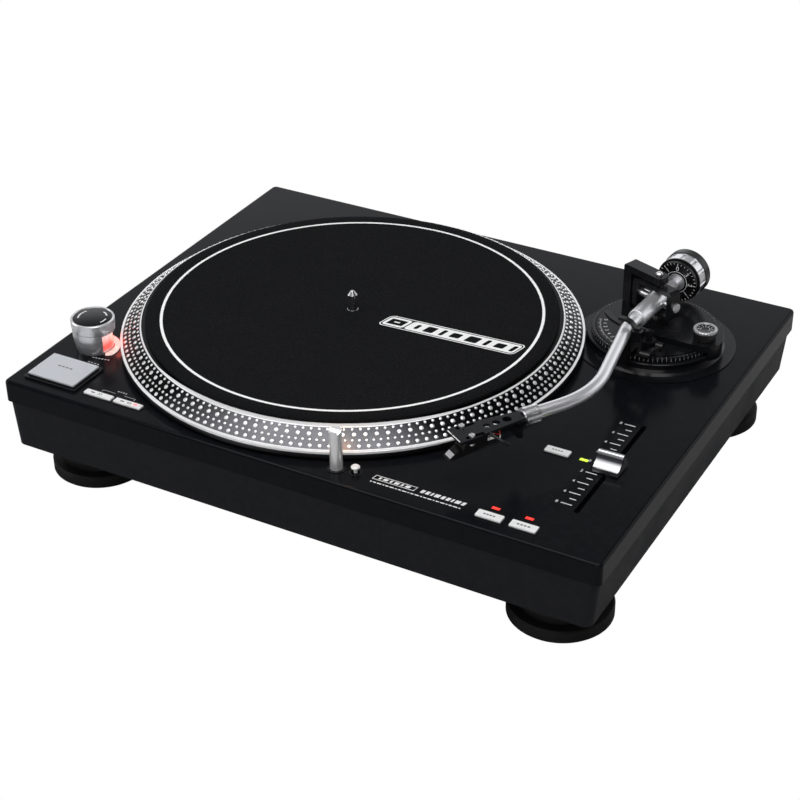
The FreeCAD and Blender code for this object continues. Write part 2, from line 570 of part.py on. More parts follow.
def make_arm_rest():
    """Arm rest: pillar with a saddle open on the platter side, and the ears of the clip's hinge."""
    rest = FIRST_BEND + 3.0
    front = -rest - 2.3
    post = Part.makeBox(9.0, 3.5, 20.9, V(-4.5, front, 9.0))
    bracket = Part.makeBox(9.0, 14.0, 3.3, V(-4.5, front, PLATE_TOP))
    shelf = Part.makeBox(12.4, 4.6, 2.0, V(-4.4, front, 27.9))
    wall = Part.makeBox(3.0, 4.6, 8.0, V(5.0, front, 28.2))
    saddle = fuse(post, bracket, shelf, wall)
    link = Part.makeBox(8.4, 8.2, 1.8, V(5.4, -rest - 4.1, ARM_Z - 4.4))
    parts = [saddle, link]
    for y in (-rest + 2.5, -rest - 4.1):
        parts.append(Part.makeBox(4.6, 1.6, 7.8, V(9.2, y, ARM_Z - 4.4)))
    parts.append(Part.makeCylinder(0.8, 8.2, V(HINGE_X, -rest + 4.1, HINGE_Z), V(0, -1, 0)))
    whole = in_frame(fuse(*parts), ROOT_HEADING, V(PIVOT[0], PIVOT[1], DECK))
    add("arm_rest", whole.cut(pipe(TUBE_R + 0.45, 0.0)))


def make_arm_clip():
    """Clip that hooks over the tube from the right and turns outwards on the rest's pin."""
    rest = FIRST_BEND + 3.0
    start = V(0, -rest + 2.0, ARM_Z)
    hook = Part.makeCylinder(9.2, 4.0, start, V(0, -1, 0))
    hook = hook.cut(Part.makeCylinder(7.4, 8, start + V(0, 2, 0), V(0, -1, 0)))
    hook = hook.common(Part.makeBox(9.6, 6.0, 8.0, V(0, -rest - 3.0, ARM_Z + 2.4)))
    tip = Part.makeBox(4.8, 4.0, 1.7, V(-4.6, -rest - 2.0, ARM_Z + 7.5))
    knuckle = Part.makeCylinder(2.0, 4.0, V(HINGE_X, -rest + 2.0, HINGE_Z), V(0, -1, 0))
    bridge = Part.makeBox(3.6, 4.0, 2.2, V(7.8, -rest - 2.0, ARM_Z + 2.4))
    clip = fuse(hook, tip, bridge, knuckle)
    clip = clip.cut(Part.makeCylinder(0.8 + RUN, 10, V(HINGE_X, -rest + 5.0, HINGE_Z), V(0, -1, 0)))
    add("arm_clip", in_frame(clip, ROOT_HEADING, V(PIVOT[0], PIVOT[1], DECK)))


def make_cue_lift():
    """Cue lift: curved bar under the arm on a piston, and the lever that works it."""
    cue = arm_at(CUE_R, CUE_HEADING, 0)
    bar = ring(34.5, 38.5, 27.6, 29.8, PIVOT)
    sector = []
    for angle in (-19.0, -2.0, 15.0, 32.0, 50.0):
        sector.append(arm_at(70.0, angle, 27.0))
    corner = V(PIVOT[0], PIVOT[1], DECK + 27.0)
    wedge = Part.Face(Part.makePolygon([corner] + sector + [corner])).extrude(V(0, 0, 4))
    bar = bar.common(wedge)
    add("cue_lift", fuse(bar, disc(2.5, 8.4, 27.6, (cue.x, cue.y))))
    hinge = lever_axis()
    hub = along(3.2, hinge + V(1.7, 0, 0), hinge + V(6.7, 0, 0))
    axle = along(1.5, hinge - V(0.8, 0, 0), hinge + V(1.7, 0, 0))
    arm = Part.makeBox(3.4, 27.0, 2.4, V(2.5, -29.0, -1.2))
    arm = arm.fuse(Part.makeCylinder(2.3, 7.0, V(0.9, -29.0, 0), V(1, 0, 0)))
    arm.rotate(V(0, 0, 0), V(1, 0, 0), -16)
    arm.translate(hinge)
    add("cue_lever", fuse(hub, axle, arm))


# ---- tonearm -----------------------------------------------------------------------------
def tube_path():
    """Corner and end points of the tube's centreline: root, first bend, S bend and end."""
    root = arm_at(10.0)
    first = arm_at(FIRST_BEND)
    end = V(TUBE_END[0], TUBE_END[1], DECK + ARM_Z)
    a, b = heading(TUBE_HEADING), heading(HEAD_HEADING)
    gap = end - first
    run = (gap.x * b.y - gap.y * b.x) / (a.x * b.y - a.y * b.x)
    return root, first, first + a * run, end


def bend(before, corner, after, radius):
    """Arc that rounds a corner, with its two tangent points."""
    back, on = before - corner, after - corner
    back.normalize()
    on.normalize()
    half = back.getAngle(on) / 2
    reach = radius / math.tan(half)
    start, stop = corner + back * reach, corner + on * reach
    middle = back + on
    middle.normalize()
    top = corner + middle * (radius / math.sin(half) - radius)
    return start, top, stop


def tube_wire(extra):
    """Centreline of the tube, pushed out at both ends by a little for the bore."""
    root, first, second, end = tube_path()
    s1, t1, e1 = bend(root, first, second, 22.0)
    s2, t2, e2 = bend(first, second, end, S_BEND_R)
    start = root - heading(ROOT_HEADING) * extra
    finish = end + heading(HEAD_HEADING) * extra
    edges = [Part.makeLine(start, s1), Part.Arc(s1, t1, e1).toShape(), Part.makeLine(e1, s2),
             Part.Arc(s2, t2, e2).toShape(), Part.makeLine(e2, finish)]
    return Part.Wire(edges), start


def pipe(radius, extra):
    """Round pipe along the tube's centreline."""
    path, start = tube_wire(extra)
    section = Part.Wire(Part.makeCircle(radius, start, heading(ROOT_HEADING)))
    return path.makePipeShell([section], True, False)


def make_arm():
    """Arm tube, root housing, rear shaft and locking collar."""
    add("arm_tube", pipe(TUBE_R, 0.0).cut(pipe(TUBE_BORE_R, 2.0)))
    housing = along(6.5, arm_at(-9.0), arm_at(33.0))
    rim = [e for e in housing.Edges if e.Closed]
    housing = housing.makeFillet(0.6, rim)
    housing = housing.cut(along(TUBE_R, arm_at(10.0), arm_at(34.0)))
    housing = housing.cut(along(TUBE_BORE_R, arm_at(2.0), arm_at(34.0)))
    side = in_frame(Part.makeCylinder(1.25, 30, V(-15, 0, ARM_Z), V(1, 0, 0)), FRAME_HEADING,
                    V(PIVOT[0], PIVOT[1], DECK))
    core = along(4.9, arm_at(-12), arm_at(36))
    housing = housing.cut(side.cut(core))
    housing = housing.cut(along(3.0, arm_at(-10), arm_at(-2)))
    add("arm_housing", housing)
    shaft = along(4.0, arm_at(-24.0), arm_at(-9.0)).fuse(along(3.0, arm_at(-62.0), arm_at(-2.0)))
    add("rear_shaft", shaft.removeSplitter())
    end = V(TUBE_END[0], TUBE_END[1], DECK + ARM_Z)
    way = heading(HEAD_HEADING)
    collar = along(5.9, end - way * 11.0, end - way * 0.4)
    collar = collar.cut(along(TUBE_R + RUN, end - way * 12.0, end + way))
    for step in range(20):
        a = math.radians(18 * step)
        out = V(-way.y, way.x, 0) * (6.1 * math.cos(a)) + UP * (6.1 * math.sin(a))
        collar = collar.cut(along(0.42, end - way * 8.4 + out, end - way * 3.6 + out))
    add("locking_collar", collar)


def shell_place(shape):
    """Place a headshell shape: drawn from y = 0 at the tube's end, -Y ahead, z = 0 on the axis."""
    return in_frame(shape, HEAD_HEADING, V(TUBE_END[0], TUBE_END[1], DECK + ARM_Z))


CART_SCREW_Y = -41.0


def make_headshell():
    """Bayonet headshell with finger lift, cartridge, its screws and the pull-off stylus."""
    rear, front = SHELL_REAR_WIDTH / 2, SHELL_FRONT_WIDTH / 2
    under = SHELL_TOP - 1.9
    outline = [V(-rear, -1.2, under), V(rear, -1.2, under), V(front, -SHELL_LENGTH + 8, under),
               V(front, -SHELL_LENGTH, under), V(-front, -SHELL_LENGTH, under),
               V(-front, -SHELL_LENGTH + 8, under)]
    plate = Part.Face(Part.makePolygon(outline + [outline[0]])).extrude(V(0, 0, 1.9))
    rim = [e for e in plate.Edges if e.BoundBox.ZMin > SHELL_TOP - 0.01 and e.BoundBox.YMin < -2.0]
    plate = plate.makeFillet(0.55, rim)
    neck = Part.makeCylinder(5.4, 6.4, V(0, -0.2, 0), V(0, -1, 0))
    neck = neck.cut(Part.makeBox(14, 10, 6, V(-7, -8, SHELL_TOP)))
    scoop = Part.Arc(V(-3.5, -5.0, -12.6), V(-3.5, -10.2, -5.6), V(-3.5, -21.0, under)).toShape()
    edge = [V(-3.5, -21.0, under), V(-3.5, -1.6, under), V(-3.5, -1.6, -13.2), V(-3.5, -5.0, -12.6)]
    keel_lines = [Part.makeLine(a, b) for a, b in zip(edge, edge[1:])]
    keel = Part.Face(Part.Wire([scoop] + keel_lines)).extrude(V(7.0, 0, 0))
    keel = keel.cut(Part.makeCylinder(5.4, 6.4, V(0, -0.2, 0), V(0, -1, 0)))
    plug = Part.makeCylinder(TUBE_BORE_R - RUN, 7.0, V(0, 6.8, 0), V(0, -1, 0))
    shell = fuse(plate, neck, keel, plug)
    for y, r in ((-11.5, 3.0), (-19.5, 2.6), (-26.5, 2.2)):
        shell = shell.cut(Part.makeCylinder(r, 6, V(0, y, under - 1)))
    slots = []
    for x in (-6.35, 6.35):
        slot = Part.makeBox(2.7, 13.0, 6, V(x - 1.35, CART_SCREW_Y - 4.0, under - 1))
        slots.append(slot)
    for slot in slots:
        shell = shell.cut(slot)
    add("headshell", shell_place(shell))

    mount_top = under
    tip = STYLUS_TIP_Z - ARM_Z
    block_top = Part.makeBox(16.6, 9.0, 2.4, V(-8.3, CART_SCREW_Y - 4.5, mount_top - 2.4))
    body = [V(-5.6, -29.0, mount_top), V(-5.6, -29.0, mount_top - 8.6), V(-5.6, -44.6, mount_top - 10.8),
            V(-5.6, -46.8, mount_top - 9.6), V(-5.6, -45.4, mount_top - 5.0), V(-5.6, -44.5, mount_top - 2.4),
            V(-5.6, -44.5, mount_top)]
    body = Part.Face(Part.makePolygon(body + [body[0]])).extrude(V(11.2, 0, 0))
    body = fuse(block_top, body)
    stylus_room = Part.makeBox(8.2, 30.0, 7.0, V(-4.1, -60.0, mount_top - 14.6))
    body = body.cut(stylus_room)
    for x in (-6.35, 6.35):
        body = body.cut(Part.makeCylinder(1.25, 6, V(x, CART_SCREW_Y, mount_top - 4)))
        body = body.cut(Part.makeCylinder(2.05, 3.0, V(x, CART_SCREW_Y, mount_top - 5.4)))
    for x, z in ((-3.4, -3.0), (3.4, -3.0), (-3.4, -6.4), (3.4, -6.4)):
        body = body.fuse(Part.makeCylinder(0.65, 4.6, V(x, -29.0, mount_top + z), V(0, 1, 0)))
    add("cartridge", shell_place(body.removeSplitter()))

    screws = []
    for x in (-6.35, 6.35):
        head = Part.makeCylinder(1.95, 1.5, V(x, CART_SCREW_Y, SHELL_TOP))
        head = head.cut(Part.makeBox(4.4, 0.6, 1.0, V(x - 2.2, CART_SCREW_Y - 0.3, SHELL_TOP + 0.9)))
        shank = Part.makeCylinder(1.2, SHELL_TOP - mount_top + 4.2, V(x, CART_SCREW_Y, mount_top - 4.2))
        nut = Part.makeCylinder(1.9, 1.4, V(x, CART_SCREW_Y, mount_top - 3.9))
        screws.append(fuse(head, shank, nut))
    add("cartridge_screws", shell_place(Part.makeCompound(screws)))

    lift = Part.Arc(V(rear + 2.2, -28.4, 1.1), V(13.6, -27.2, 0.7), V(18.8, -21.6, -3.2)).toShape()
    lift_path = Part.Wire([lift])
    normal = lift.tangentAt(lift.FirstParameter)
    section = Part.Wire(Part.makeCircle(0.95, lift.valueAt(lift.FirstParameter), normal))
    rod = lift_path.makePipeShell([section], True, True)
    add("finger_lift", shell_place(rod.cut(shell)))

    top = mount_top - 7.9
    grip = [V(-3.8, -33.0, top), V(-3.8, -33.0, top - 3.4), V(-3.8, -47.0, tip + 1.5), V(-3.8, -53.0, tip + 0.9),
            V(-3.8, -56.0, tip + 1.7), V(-3.8, -49.0, top)]
    grip = Part.Face(Part.makePolygon(grip + [grip[0]])).extrude(V(7.6, 0, 0))
    tube = Part.makeCone(0.2, 0.45, 1.6, V(0, -50.4, tip))
    add("stylus", shell_place(fuse(grip, tube)))


def make_counterweight():
    """Sleeve that slides on the rear shaft, the turning counterweight and its force dial."""
    sleeve = along(6.3, arm_at(-50.6), arm_at(-29.4)).cut(along(3.0 + RUN, arm_at(-52), arm_at(-28)))
    add("weight_sleeve", sleeve)
    bore = along(6.3 + RUN, arm_at(-60), arm_at(-20))
    weight = along(16.3, arm_at(-44.0), arm_at(-34.0)).fuse(along(16.9, arm_at(-50.2), arm_at(-44.0)))
    weight = weight.cut(bore)
    side, way = V(math.cos(math.radians(ROOT_HEADING)), -math.sin(math.radians(ROOT_HEADING)), 0), UP
    for step in range(12):
        a = math.radians(30 * step)
        out = side * (17.9 * math.cos(a)) + way * (17.9 * math.sin(a))
        weight = weight.cut(along(2.4, arm_at(-43.6) + out, arm_at(-35.2) + out))
    add("counterweight", weight)
    dial = along(15.2, arm_at(-33.6), arm_at(-30.2)).cut(bore)
    add("force_dial", dial)


make_top_cover()
make_base_housing()
make_bottom_cover()
make_feet()
make_rear_sockets()
make_motor()
make_platter()
make_electronics()
make_buttons()
make_strobe()
make_target_lamp()
make_pitch_slider()
make_arm_flange()
make_height_ring()
make_arm_base_plate()
make_arm_yoke()
make_gimbal()
make_arm_rest()
make_arm_clip()
make_cue_lift()
make_arm()
make_headshell()
make_counterweight()

os.makedirs("parts", exist_ok=True)
for node, shape in pieces.items():
    shape.exportStep("parts/" + node + ".step")
    print(f"{node:22s} solids {len(shape.Solids):2d}  valid {shape.isValid()}  volume {shape.Volume:10.1f}")
print(len(pieces), "nodes")
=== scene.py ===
"""Looks of the record player: materials, printed marks, felt mat, strobe dots, leads and the studio.

Millimetres until a mesh is finished: X to the right, Y to the back, Z above the deck's top face.
"""
import bpy
import bmesh
import json
import math
from mathutils import Matrix, Vector


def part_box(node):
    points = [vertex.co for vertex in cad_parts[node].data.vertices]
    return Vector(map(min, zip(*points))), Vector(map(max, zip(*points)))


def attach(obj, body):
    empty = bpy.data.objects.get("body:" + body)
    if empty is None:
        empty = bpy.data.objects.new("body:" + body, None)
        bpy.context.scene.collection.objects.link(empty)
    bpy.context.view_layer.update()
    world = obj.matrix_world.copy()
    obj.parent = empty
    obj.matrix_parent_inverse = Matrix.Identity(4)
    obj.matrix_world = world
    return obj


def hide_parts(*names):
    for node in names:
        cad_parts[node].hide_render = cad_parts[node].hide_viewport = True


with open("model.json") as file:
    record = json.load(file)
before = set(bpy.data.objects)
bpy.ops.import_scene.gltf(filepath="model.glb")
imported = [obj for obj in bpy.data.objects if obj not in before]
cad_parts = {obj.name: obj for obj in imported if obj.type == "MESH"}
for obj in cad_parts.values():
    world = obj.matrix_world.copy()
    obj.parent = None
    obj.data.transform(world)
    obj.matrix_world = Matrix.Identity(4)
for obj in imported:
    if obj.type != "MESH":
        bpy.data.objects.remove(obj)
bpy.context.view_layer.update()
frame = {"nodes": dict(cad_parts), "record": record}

# ---- places, worked out from the frame --------------------------------------------------------
MM = 0.001


def spot(node):
    """Middle of a CAD node's box and its top, in millimetres, height above the deck."""
    low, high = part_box(node)
    middle = (Vector(low) + Vector(high)) / 2
    return middle.x / MM, middle.y / MM, (high[2] - DECK_TOP) / MM


SLEEVE_DROP = 20.0          # the arm flange's guide sleeve hangs this far below the deck
DECK_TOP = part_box("arm_flange")[0][2] + SLEEVE_DROP * MM
SPINDLE = spot("platter")[:2]
MAT_TOP = 19.8
MAT_LOW = 17.3
MAT_R = 147.5
STROBE = spot("power_knob")[:2]
PIVOT = spot("arm_flange")[:2]
ARM_Z = 34.5                # height of the arm's axis
ROOT_HEADING = 4.0          # the tube leaves the pivot on this heading
HEAD_HEADING = 32.0         # and ends at the headshell on this one
TUBE_END = (135.2, -99.0)
SLOT_Y = -77.8              # middle of the pitch slot
SPEED_33 = spot("speed_33_button")
SPEED_45 = spot("speed_45_button")


def heading(degrees):
    """Unit vector in plan: 0 is straight ahead (-Y), positive turns towards the platter."""
    a = math.radians(degrees)
    return Vector((-math.sin(a), -math.cos(a), 0.0))


def drawn_along(angle, origin):
    """Placement of a shape drawn with +X across, -Y ahead and Z up, so that -Y meets a heading."""
    return Matrix.Translation(Vector(origin)) @ Matrix.Rotation(math.radians(-angle), 4, "Z")


SHELL = drawn_along(HEAD_HEADING, (TUBE_END[0], TUBE_END[1], ARM_Z))
ROOT = drawn_along(ROOT_HEADING, (PIVOT[0], PIVOT[1], ARM_Z))


# ---- mesh building ----------------------------------------------------------------------------
WIRE_SPANS = 7              # pieces of a wire between two of its points


class Batch:
    """Collects small shapes of one piece, in millimetres above the deck."""

    def __init__(self):
        self.bm = bmesh.new()

    def add(self, points, faces, place=None):
        """Add points and the faces between them, optionally placed by a matrix."""
        if place is not None:
            points = [place @ Vector(p) for p in points]
        verts = [self.bm.verts.new(p) for p in points]
        for face in faces:
            self.bm.faces.new([verts[i] for i in face])
        return self

    def slab(self, outline, z, thick, place=None):
        """Flat shape with a little thickness, from its outline seen from above."""
        n = len(outline)
        points = [(x, y, z) for x, y in outline] + [(x, y, z + thick) for x, y in outline]
        faces = [list(range(n))[::-1], list(range(n, 2 * n))]
        faces += [[i, (i + 1) % n, n + (i + 1) % n, n + i] for i in range(n)]
        return self.add(points, faces, place)

    def bar(self, x0, x1, y0, y1, z, thick, place=None):
        """Rectangular slab."""
        return self.slab([(x0, y0), (x1, y0), (x1, y1), (x0, y1)], z, thick, place)

    def arc(self, centre, r0, r1, start, stop, z, thick, place=None):
        """Part of a flat ring between two angles in degrees, in steps of about 3 degrees."""
        steps = max(2, int(abs(stop - start) / 3))
        angles = [math.radians(start + (stop - start) * i / steps) for i in range(steps + 1)]
        full = abs(stop - start) > 359.9
        points, faces = [], []
        for a in angles[:-1] if full else angles:
            c, s = math.cos(a), math.sin(a)
            for r, h in ((r0, z), (r1, z), (r1, z + thick), (r0, z + thick)):
                points.append((centre[0] + r * c, centre[1] + r * s, h))
        count = len(points) // 4
        for i in range(count if full else count - 1):
            j = (i + 1) % count
            for a, b in ((0, 1), (1, 2), (2, 3), (3, 0)):
                faces.append([4 * i + a, 4 * i + b, 4 * j + b, 4 * j + a][::-1])
        if not full:
            faces += [[0, 1, 2, 3], [4 * count - 1, 4 * count - 2, 4 * count - 3, 4 * count - 4]]
        return self.add(points, faces, place)

    def turned(self, profile, place, steps=48):
        """Surface of revolution of (radius, height) points about the placement's Z axis."""
        points, faces = [], []
        for i in range(steps):
            a = 2 * math.pi * i / steps
            points += [(r * math.cos(a), r * math.sin(a), z) for r, z in profile]
        n = len(profile)
        for i in range(steps):
            j = (i + 1) % steps
            for k in range(n - 1):
                faces.append([n * i + k, n * j + k, n * j + k + 1, n * i + k + 1])
        self.add(points, faces, place)
        bmesh.ops.remove_doubles(self.bm, verts=self.bm.verts[:], dist=1e-5)
        return self

    def wire(self, points, radius, steps=8):
        """Round wire along a smooth line through the points, closed at both ends."""
        line = smooth_line([Vector(p) for p in points], WIRE_SPANS)
        ring_points, faces = [], []
        side = Vector((0.0, 0.0, 1.0))
        for i, p in enumerate(line):
            way = (line[min(i + 1, len(line) - 1)] - line[max(i - 1, 0)]).normalized()
            across = way.cross(side)
            across = across.normalized() if across.length > 1e-6 else Vector((1, 0, 0))
            side = across.cross(way).normalized()
            for k in range(steps):
                a = 2 * math.pi * k / steps
                ring_points.append(p + across * radius * math.cos(a) + side * radius * math.sin(a))
        for i in range(len(line) - 1):
            for k in range(steps):
                m = (k + 1) % steps
                faces.append([steps * i + k, steps * i + m, steps * (i + 1) + m, steps * (i + 1) + k])
        last = steps * (len(line) - 1)
        faces += [list(range(steps))[::-1], [last + k for k in range(steps)]]
        return self.add(ring_points, faces)

    def text(self, words, size, place, thick):
        """Raised print of plain digits, centred on the placement and read along its +X."""
        curve = bpy.data.curves.new("lettering", "FONT")
        curve.body = words
        curve.size = size
        curve.align_x = "CENTER"
        curve.align_y = "CENTER"
        curve.extrude = thick / 2
        curve.resolution_u = 3
        holder = bpy.data.objects.new("lettering", curve)
        bpy.context.scene.collection.objects.link(holder)
        bpy.context.view_layer.update()
        mesh = bpy.data.meshes.new_from_object(holder)
        mesh.transform(place @ Matrix.Translation((0, 0, thick / 2)))
        self.bm.from_mesh(mesh)
        bpy.data.objects.remove(holder)
        bpy.data.curves.remove(curve)
        bpy.data.meshes.remove(mesh)
        return self

    def finish(self, name, body, material, smooth=None):
        """Turn the batch into a piece that rides on a CAD body."""
        bmesh.ops.recalc_face_normals(self.bm, faces=self.bm.faces[:])
        mesh = bpy.data.meshes.new(name)
        self.bm.to_mesh(mesh)
        self.bm.free()
        mesh.transform(Matrix.Translation((0, 0, DECK_TOP)) @ Matrix.Scale(MM, 4))
        obj = bpy.data.objects.new(name, mesh)
        bpy.context.scene.collection.objects.link(obj)
        mesh.materials.append(material)
        if smooth is not None:
            for polygon in mesh.polygons:
                polygon.use_smooth = True
            mesh.set_sharp_from_angle(angle=math.radians(smooth))
        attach(obj, body)
        return obj


def smooth_line(points, spans):
    """Catmull-Rom line through points, with some spans between each two."""
    line = []
    last = len(points) - 1
    for i in range(last):
        a, b, c, d = points[max(i - 1, 0)], points[i], points[i + 1], points[min(i + 2, last)]
        for k in range(spans):
            t = k / spans
            line.append(0.5 * ((2 * b) + (c - a) * t + (2 * a - 5 * b + 4 * c - d) * t * t
                               + (3 * b - a - 3 * c + d) * t ** 3))
    return line + [points[-1]]


# ---- materials --------------------------------------------------------------------------------
NOISE_SPAN = (0.3, 0.7)     # nearly all of a noise's values lie between these


class Shader:
    """One Principled material, built up node by node in the frame's own coordinates."""

    def __init__(self, name, color, rough, metal=0.0, spec=0.5):
        self.material = bpy.data.materials.new(name)
        self.material.use_nodes = True
        self.nodes = self.material.node_tree.nodes
        self.links = self.material.node_tree.links
        self.bsdf = self.nodes["Principled BSDF"]
        self.set(**{"Base Color": (*color, 1.0), "Roughness": rough, "Metallic": metal,
                    "Specular IOR Level": spec})
        self.place = self.nodes.new("ShaderNodeTexCoord").outputs["Object"]

    def set(self, **values):
        """Put a constant, or another node's output, on a Principled input."""
        for key, value in values.items():
            socket = self.bsdf.inputs[key.replace("_", " ")]
            if isinstance(value, bpy.types.NodeSocket):
                self.links.new(value, socket)
            else:
                socket.default_value = value
        return self

    def noise(self, scale, detail=3.0, stretch=(1, 1, 1)):
        """Noise at a number of features per metre."""
        where = self.place
        if stretch != (1, 1, 1):
            mapping = self.nodes.new("ShaderNodeMapping")
            mapping.inputs["Scale"].default_value = stretch
            self.links.new(self.place, mapping.inputs["Vector"])
            where = mapping.outputs["Vector"]
        node = self.nodes.new("ShaderNodeTexNoise")
        node.inputs["Scale"].default_value = scale
        node.inputs["Detail"].default_value = detail
        self.links.new(where, node.inputs["Vector"])
        return node.outputs["Fac"]

    def cells(self, scale):
        """Distance to the nearest cell centre, for grains and fibres."""
        node = self.nodes.new("ShaderNodeTexVoronoi")
        node.inputs["Scale"].default_value = scale
        self.links.new(self.place, node.inputs["Vector"])
        return node.outputs["Distance"]

    def spread(self, source, low, high, start=0.0, end=1.0):
        """Map a source between start and end to values between low and high."""
        node = self.nodes.new("ShaderNodeMapRange")
        for key, value in (("From Min", start), ("From Max", end), ("To Min", low), ("To Max", high)):
            node.inputs[key].default_value = value
        self.links.new(source, node.inputs["Value"])
        return node.outputs["Result"]

    def math(self, operation, a, b=0.0):
        """One step of arithmetic."""
        node = self.nodes.new("ShaderNodeMath")
        node.operation = operation
        for value, socket in ((a, node.inputs[0]), (b, node.inputs[1])):
            if isinstance(value, bpy.types.NodeSocket):
                self.links.new(value, socket)
            else:
                socket.default_value = value
        return node.outputs[0]

    def height(self):
        """Height above the deck, in metres."""
        return self.math("SUBTRACT", self.axis("Z"), DECK_TOP)

    def axis(self, letter):
        """One coordinate, in metres."""
        split = self.nodes.new("ShaderNodeSeparateXYZ")
        self.links.new(self.place, split.inputs[0])
        return split.outputs[letter]

    def along(self, way):
        """Distance from the frame's origin along a direction, in metres."""
        node = self.nodes.new("ShaderNodeVectorMath")
        node.operation = "DOT_PRODUCT"
        node.inputs[1].default_value = way
        self.links.new(self.place, node.inputs[0])
        return node.outputs["Value"]

    def uneven_gloss(self, scale, low, high, detail=3.0):
        """Roughness that drifts between two values."""
        return self.set(Roughness=self.spread(self.noise(scale, detail), low, high, *NOISE_SPAN))

    def radius(self, centre):
        """Distance in plan from a point given in millimetres."""
        flat = self.nodes.new("ShaderNodeVectorMath")
        flat.operation = "MULTIPLY_ADD"
        flat.inputs[1].default_value = (1, 1, 0)
        flat.inputs[2].default_value = (-centre[0] * MM, -centre[1] * MM, 0)
        self.links.new(self.place, flat.inputs[0])
        length = self.nodes.new("ShaderNodeVectorMath")
        length.operation = "LENGTH"
        self.links.new(flat.outputs[0], length.inputs[0])
        return length.outputs["Value"]

    def between(self, source, low, high, soft=0.00015):
        """1 where a source in metres lies between two values in millimetres, with a soft edge."""
        rise = self.spread(source, 0.0, 1.0, low * MM - soft, low * MM + soft)
        fall = self.spread(source, 1.0, 0.0, high * MM - soft, high * MM + soft)
        return self.math("MULTIPLY", rise, fall)

    def mix(self, amount, first, second):
        """Blend of two colours."""
        node = self.nodes.new("ShaderNodeMix")
        node.data_type = "RGBA"
        for key, value in ((0, amount), (6, first), (7, second)):
            socket = node.inputs[key]
            if isinstance(value, bpy.types.NodeSocket):
                self.links.new(value, socket)
            else:
                socket.default_value = (*value, 1.0) if isinstance(value, tuple) else value
        return node.outputs[2]

    def bump(self, source, depth, strength=1.0):
        """Surface relief of a depth in millimetres."""
        node = self.nodes.new("ShaderNodeBump")
        node.inputs["Distance"].default_value = depth * MM
        node.inputs["Strength"].default_value = strength
        self.links.new(source, node.inputs["Height"])
        normal = self.bsdf.inputs["Normal"]
        if normal.is_linked:
            self.links.new(normal.links[0].from_socket, node.inputs["Normal"])
        self.links.new(node.outputs["Normal"], normal)
        return self


def painted(name, color, rough, spec, grain=0.010, scale=2600, vary=0.05):
    """Dark painted or moulded surface with fine grain and slightly uneven gloss."""
    s = Shader(name, color, rough, 0.0, spec)
    s.uneven_gloss(35, rough - vary, rough + vary)
    s.set(**{"Base Color": s.mix(s.spread(s.noise(220, 2), 0.0, 1.0, *NOISE_SPAN), color,
                                 tuple(c * 1.25 + 0.0006 for c in color))})
    return s.bump(s.noise(scale, 2), grain)


def metal(name, color, rough, grain=0.004, stretch=(1, 1, 1), scale=900, vary=0.04):
    """Bare metal with fine tooling marks."""
    s = Shader(name, color, rough, 1.0)
    s.set(Roughness=s.spread(s.noise(scale, 3, stretch), rough - vary, rough + vary, *NOISE_SPAN))
    return s.bump(s.noise(scale * 2, 2, stretch), grain)


def deck_black():
    """Satin black paint of the deck, glossier than the body."""
    color = (0.0047, 0.0051, 0.0064)
    return painted("deck_black", color, 0.18, 0.09, grain=0.0015, scale=3200, vary=0.02).material


def body_black():
    """Moulded body with a fine matte texture."""
    return painted("body_black", (0.0104, 0.0109, 0.0132), 0.45, 0.10, grain=0.02, scale=2400).material


def trim_black():
    """Semi-gloss black plastic."""
    return painted("trim_black", (0.006, 0.006, 0.007), 0.22, 0.35, grain=0.002).material


def arm_black():
    """Satin black paint on the tonearm's base and headshell."""
    return painted("arm_black", (0.0052, 0.0055, 0.0068), 0.24, 0.26, grain=0.002).material


def foot_rubber():
    """Dull rubber with moulding grain."""
    s = painted("foot_rubber", (0.0065, 0.0065, 0.0068), 0.62, 0.22, grain=0.03, scale=1500, vary=0.08)
    return s.bump(s.cells(900), 0.02, 0.5).material


